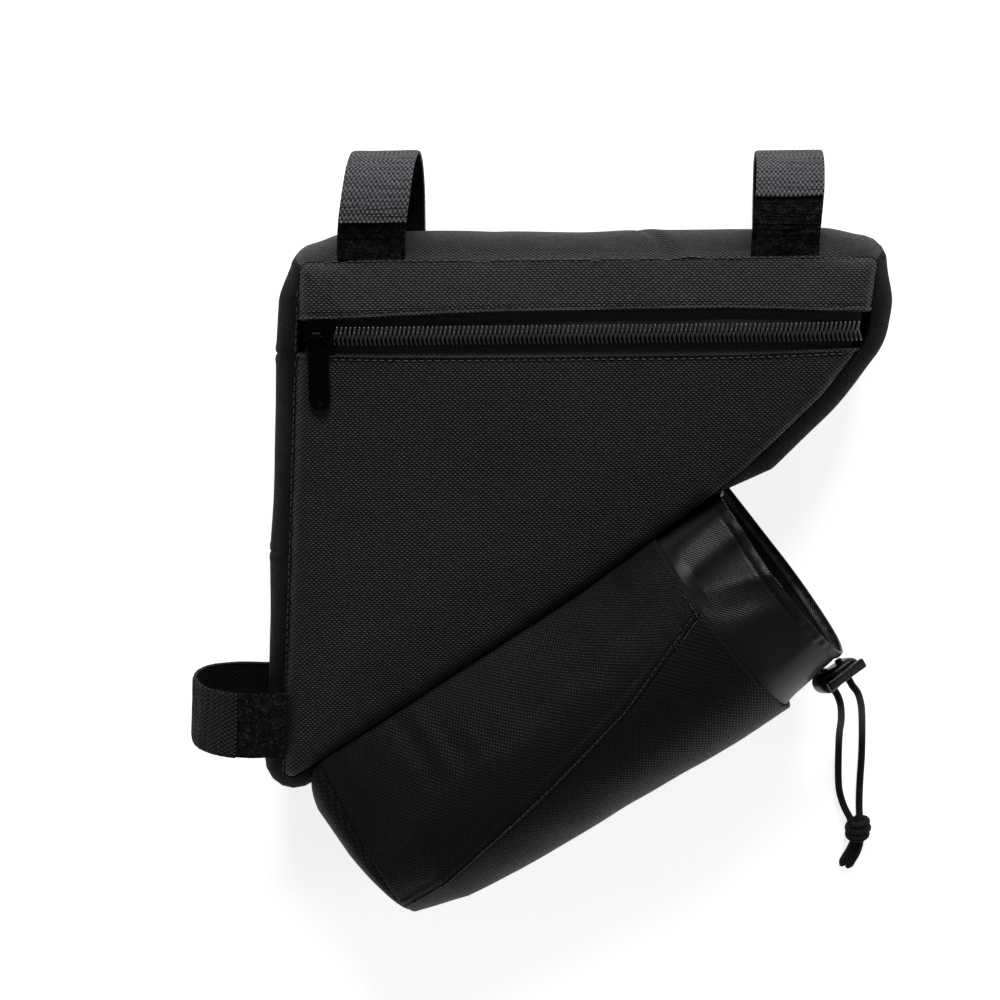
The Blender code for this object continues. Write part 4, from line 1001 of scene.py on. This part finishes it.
def makeStrap(name, node, share, bare, lean, length):
    onSeat = name == "seat"
    end = cornerPlace(-1 if onSeat else 1)
    along = unit(end - cornerPlace(0)) * (-1 if onSeat else 1)
    out = np.array([-along[1], along[0]])
    base = cornerPlace(0) + (end - cornerPlace(0)) * share
    loop = [(reach * strapSizes["reach"] * length, height * bag["depth"], slip)
            for reach, height, slip in strapSizes["loop"]]
    path = evenRoute(smoothRoute(loop, 8), 0.9 * mm)[0]
    pilePath, hookPath = path[:int(len(path) * 0.42)], path[int(np.argmax(path[:, 0] > bare)):]
    pile = tapePly(name + "Pile", base, along, out, pilePath, lean, -0.15 * mm - strapSizes["pile"],
                   strapSizes["pile"], finishes["pile"], 71)
    # the seat strap's hook tape takes the darker copy: painted shade
    hook = tapePly(name + "Hook", base, along, out, hookPath, lean, 0.15 * mm, strapSizes["hook"],
                   finishes["hookShaded" if onSeat else "hook"], 72, finishes["lining"])
    return [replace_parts(pile, f"strap_{node}_pile"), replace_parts(hook, f"strap_{node}_hook")]


strapPieces = [piece for row in strapSizes["straps"] for piece in makeStrap(*row)]
print("straps looped")


# the zip: tapes, coil, slider and pull
def zipTape(name, low, high):
    rows = []
    for offset in np.linspace(low, high, 14):
        y = zipLine(0.0) + offset
        left, right = float(leftEdge(y)) + 3.0 * mm, float(rightEdge(y)) - 3.0 * mm
        xs = left + (right - left) * np.linspace(0, 1, 160)
        ys = zipLine(xs) + offset
        heights = crownHeight(np.stack([xs, ys], axis=-1)) - bag["wall"] - 0.7 * mm
        rows.append(np.column_stack([xs, ys, heights - 1.1 * mm * bell(abs(offset) - 5.4 * mm, 1.5 * mm)]))
    grid = np.array(rows)
    return clothPiece(name, grid, grid[..., :2], finishes["zipTape"], wall=0.8 * mm, inside=(0, 60 * mm, 0))


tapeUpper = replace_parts(zipTape("zipTapeUpper", 0.2 * mm, zipSizes["tape"]), "zip_tape_upper")
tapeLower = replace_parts(zipTape("zipTapeLower", -zipSizes["tape"], -0.2 * mm), "zip_tape_lower")

coilSizes = {
    "pitch": 1.66 * mm, "wire": 0.86 * mm, "rise": 1.2 * mm, "over": 1.3 * mm, "reach": 3.5 * mm,
    "head": 1.5, "bend": 1.35, "slant": 16.0, "ends": (9 * mm, 2.5 * mm), "lift": 1.25 * mm}


def coilTooth(sign):
    # one turn of wire along Y, with a broad head over the centre line and a broad outer bend
    rise, reach, over = coilSizes["rise"], coilSizes["reach"], coilSizes["over"]
    bpy.ops.object.select_all(action="DESELECT")
    bpy.ops.mesh.primitive_torus_add(
        major_segments=14, minor_segments=8, major_radius=rise / 2, minor_radius=coilSizes["wire"] / 2,
        location=(0, 0, 0), rotation=(0, math.pi / 2, 0))
    tooth = bpy.context.active_object
    bpy.ops.object.transform_apply(location=True, rotation=True, scale=True)
    for side, swell in ((-1, coilSizes["head"]), (1, coilSizes["bend"])):
        reshape(tooth, lambda co: co.y * side > 0.34 * mm, bpy.ops.transform.resize, value=(swell, 1.0, swell),
                center_override=(0, side * rise / 2, 0))
    reshape(tooth, lambda co: co.y > 0.01 * mm, bpy.ops.transform.translate, value=(0, reach + over - rise, 0))
    bpy.ops.object.mode_set(mode="EDIT")
    bpy.ops.mesh.select_all(action="SELECT")
    bpy.ops.transform.translate(value=(0, rise / 2 - over, 0))
    bpy.ops.transform.rotate(value=math.radians(coilSizes["slant"]), orient_axis="Z", center_override=(0, 0, 0))
    if sign < 0:
        bpy.ops.transform.mirror(constraint_axis=(False, True, False), center_override=(0, 0, 0))
        bpy.ops.mesh.flip_normals()
    bpy.ops.object.mode_set(mode="OBJECT")
    return takenMesh(tooth)


def coilTeeth():
    teeth = {sign: coilTooth(sign) for sign in (1, -1)}
    left = float(leftEdge(zipLine(0))) + coilSizes["ends"][0]
    right = float(rightEdge(zipLine(0))) - coilSizes["ends"][1]
    vertices, faces = [], []
    for k in range(int((right - left) / coilSizes["pitch"])):
        for sign in (1, -1):
            x = left + (k + (0.5 if sign < 0 else 0)) * coilSizes["pitch"]
            y = float(zipLine(x))
            z = float(crownHeight(np.array([[x, y]]))[0]) - bag["wall"] + coilSizes["lift"]
            addCopy(vertices, faces, teeth[sign][0] + np.array([x, y, z]), teeth[sign][1])
    piece = placed("zipTeeth", clothMesh("zipTeeth", vertices, faces, finishes["coil"]))
    facing(piece)
    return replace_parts(piece, "zip_coil")


teeth = coilTeeth()
for node in ("zip_slider", "zip_pull"):
    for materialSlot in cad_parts[node].material_slots:
        materialSlot.material = finishes["enamel"]
print("zip closed")

# the cord lock: a rounded barrel with a sprung bar on top
lockSizes = {
    "centre": (127.33 * mm, -69.84 * mm, 38.6 * mm),
    "along": (0.78546, 0.45216, -0.42262), "press": (0.36626, 0.21085, 0.90631),
    "barrel": (19.0 * mm, 8.8 * mm, 9.2 * mm), "round": 2.2 * mm, "waist": 0.78,
    "bar": (17.8 * mm, 3.8 * mm, 2.2 * mm), "barRound": 0.7 * mm,
    "travel": 2.5 * mm, "clear": 0.15 * mm, "stem": 3.1 * mm}


def finishedLock(piece, name, width, segments):
    modifier = piece.modifiers.new("bevel", "BEVEL")
    modifier.width = width
    modifier.segments = segments
    modifier.limit_method = "ANGLE"
    pick(piece)
    bpy.ops.object.modifier_apply(modifier=modifier.name)
    bpy.ops.object.shade_smooth_by_angle(angle=math.radians(35))
    along, press = Vector(lockSizes["along"]).normalized(), Vector(lockSizes["press"]).normalized()
    turn = Matrix((along, press.cross(along), press)).transposed()
    piece.matrix_world = Matrix.Translation(Vector(lockSizes["centre"])) @ turn.to_4x4()
    bpy.ops.object.transform_apply(location=True, rotation=True, scale=True)
    piece.name = piece.data.name = name
    piece.data.materials.clear()
    piece.data.materials.append(finishes["acetal"])
    return piece


def lockBarrel():
    length, thick, height = lockSizes["barrel"]
    bpy.ops.object.select_all(action="DESELECT")
    bpy.ops.mesh.primitive_cylinder_add(
        vertices=36, radius=thick / 2, depth=height, end_fill_type="NGON", location=(0, 0, 0))
    piece = bpy.context.active_object
    pullEnds(piece, length - thick)
    # narrower from its middle to one end
    reshape(piece, lambda co: co.x > -0.1 * mm, bpy.ops.transform.resize, value=(1, lockSizes["waist"], 1),
            center_override=(0, 0, 0))
    return finishedLock(piece, "lockBarrel", lockSizes["round"], 5)


def lockPlunger():
    top = lockSizes["barrel"][2] / 2 + lockSizes["travel"] + lockSizes["clear"]
    bpy.ops.object.select_all(action="DESELECT")
    bpy.ops.mesh.primitive_cube_add(size=1, location=(0, 0, 0))
    piece = bpy.context.active_object
    bpy.ops.object.mode_set(mode="EDIT")
    bpy.ops.transform.resize(value=lockSizes["bar"], center_override=(0, 0, 0))
    bpy.ops.transform.translate(value=(0, 0, top + lockSizes["bar"][2] / 2))
    bpy.ops.mesh.select_all(action="DESELECT")
    bpy.ops.mesh.primitive_cylinder_add(
        vertices=24, radius=lockSizes["stem"] / 2, depth=top, end_fill_type="NGON", location=(0, 0, top / 2 + 0.4 * mm))
    bpy.ops.object.mode_set(mode="OBJECT")
    return finishedLock(piece, "lockPlunger", lockSizes["barRound"], 3)


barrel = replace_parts(lockBarrel(), "cord_lock_barrel")
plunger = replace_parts(lockPlunger(), "cord_lock_plunger")
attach(plunger, "lock_plunger")
print("cord lock built")

# seam stitches
stitchSizes = {
    "length": 2.1 * mm, "thick": 0.55 * mm, "sink": -0.08 * mm, "fromHem": 2.3 * mm, "ends": (4 * mm, 7 * mm)}


def stitchShape():
    bpy.ops.object.select_all(action="DESELECT")
    bpy.ops.mesh.primitive_uv_sphere_add(segments=6, ring_count=5, radius=stitchSizes["thick"] / 2, location=(0, 0, 0),
                                         rotation=(0, math.pi / 2, 0))
    shape = bpy.context.active_object
    bpy.ops.object.transform_apply(location=True, rotation=True, scale=True)
    pullEnds(shape, stitchSizes["length"] - stitchSizes["thick"])
    return takenMesh(shape)


stitchPlaces, stitchFaces = stitchShape()


def stitchRow(name, line, cloth, material, pitch=2.9 * mm):
    # a line of stitches laid on a piece of cloth
    tree = BVHTree.FromPolygons([v.co for v in cloth.data.vertices], [f.vertices for f in cloth.data.polygons])
    runs = lengths(line)
    at = np.arange(0.5, runs[-1] / pitch) * pitch
    spots = sampled(line, runs, at)
    vertices, faces = [], []
    for spot, way in zip(spots, sampled(line, runs, at + 1 * mm) - spots):
        if np.linalg.norm(way) < 0.5 * mm:
            continue
        ground, normal = (np.array(v) for v in tree.find_nearest(Vector(spot))[:2])
        x = unit(way - normal * (way @ normal))
        lifted = ground + normal * (stitchSizes["thick"] / 2 - stitchSizes["sink"])
        addCopy(vertices, faces, lifted + stitchPlaces @ np.array([x, np.cross(normal, x), normal]), stitchFaces)
    piece = placed(name, clothMesh(name, vertices, faces, material))
    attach(piece, "bag")


def hemLine(upper):
    left = float(leftEdge(zipLine(0))) + stitchSizes["ends"][0]
    x = np.linspace(left, float(rightEdge(zipLine(0))) - stitchSizes["ends"][1], 160)
    y = zipEdge(x, upper) + (1 if upper else -1) * stitchSizes["fromHem"]
    return np.column_stack([x, y, crownHeight(np.stack([x, y], axis=-1))])


def abovePocket(along, angles):
    wide, tall = pocketHalf(along)
    reach = pocketLine + wide + (wide + 2 * mm) * np.cos(angles)
    return ringPlace(along, reach, tall + (tall + 2 * mm) * np.sin(angles))


slantLine = np.array([abovePocket(along, np.array([seamAngle(along, True) + 1.9 * mm / pocketHalf(along)[0]]))[0]
                      for along in np.linspace(*(pocket["start"] + pocket["length"] * np.array((0.02, 0.98))), 120)])
mouthLine = abovePocket(pocketMouth - 2.0 * mm, np.radians(np.linspace(20, 128, 140)))
front = np.column_stack([seam, np.full(len(seam), bag["depth"])])
outward = np.column_stack([seamOut, 0 * seamOut[:, 0]])
leftLine = (front + 1.3 * mm * outward)[(seamOut[:, 0] < -0.9) & (seam[:, 1] < 80 * mm)]
topSide = (seamOut[:, 1] > 0.95) & (seam[:, 0] > cornerPlace(0)[0] + 8 * mm) & (seam[:, 0] < cornerPlace(1)[0] - 8 * mm)
topLine = (front + 0.9 * mm * outward)[topSide]
topLine = topLine[np.argsort(topLine[:, 0])]
stitchRow("zipStitchLower", hemLine(False), lowerPanel, finishes["thread"])
stitchRow("zipStitchUpper", hemLine(True), upperPanel, finishes["darkThread"])
stitchRow("pocketStitch", slantLine, pocketFront, finishes["pocketThread"], 2.5 * mm)
stitchRow("mouthStitch", mouthLine, pocketFront, finishes["darkThread"])
stitchRow("sideStitch", leftLine, sideWall, finishes["darkThread"])
stitchRow("topStitch", topLine, sideWall, finishes["thread"])
print("seams stitched")

slotNames = {
    "black_oxford": [lowerPanel, upperPanel, sideWall, backPanel, pocketFront, pocketBack, pocketSide, pocketEndPiece],
    "black_nylon": [collar], "zip_tape": [tapeUpper, tapeLower], "zip_coil": [teeth],
    "pile_tape": strapPieces[0::2], "hook_tape": strapPieces[1::2],
    "elastic_cord": knotParts + [row[0] for row in cords], "black_acetal": [barrel],
}
for slotName, pieces in slotNames.items():
    for piece in pieces:
        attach(piece, "bag")

# floor and studio light
light = {"floor": 16.0, "glow": 0.80, "sky": 0.10}  # the floor is lit from below, as on a light table
bpy.ops.object.select_all(action="DESELECT")
bpy.ops.mesh.primitive_plane_add(size=light["floor"], location=(0, 0, -0.2 * mm))
floor = bpy.context.active_object
floor.name = "floor"
floorMaterial, floorTree, floorShader = startMaterial("paleFloor", (0.85, 0.85, 0.85), 0.9, specular=0.0)
floorShader.inputs["Emission Color"].default_value = (1, 1, 1, 1)
floorShader.inputs["Emission Strength"].default_value = light["glow"]
floor.data.materials.append(floorMaterial)

lights = [
    # name, direction it comes from, softness in degrees, strength
    ("backSoftbox", (0.05, 0.89, 0.47), 26, 2.5),
    ("leftSoftbox", (-0.85, 0.10, 0.55), 40, 0.02),
    ("rightSoftbox", (0.85, 0.05, 0.55), 40, 0.28),
    ("frontFill", (0.10, -0.75, 0.65), 50, 0.08),
]
for name, place, spread, power in lights:
    lamp = bpy.data.lights.new(name, "SUN")
    lamp.angle = math.radians(spread)
    lamp.energy = power
    stand = bpy.data.objects.new(name, lamp)
    stand.location = place
    stand.rotation_euler = Vector(place).to_track_quat("Z", "Y").to_euler()
    bpy.context.scene.collection.objects.link(stand)

world = bpy.data.worlds.new("studio")
world.use_nodes = True
sky = world.node_tree.nodes["Background"]
sky.inputs["Color"].default_value = (1, 1, 1, 1)
sky.inputs["Strength"].default_value = light["sky"]
bpy.context.scene.world = world
print("light set")
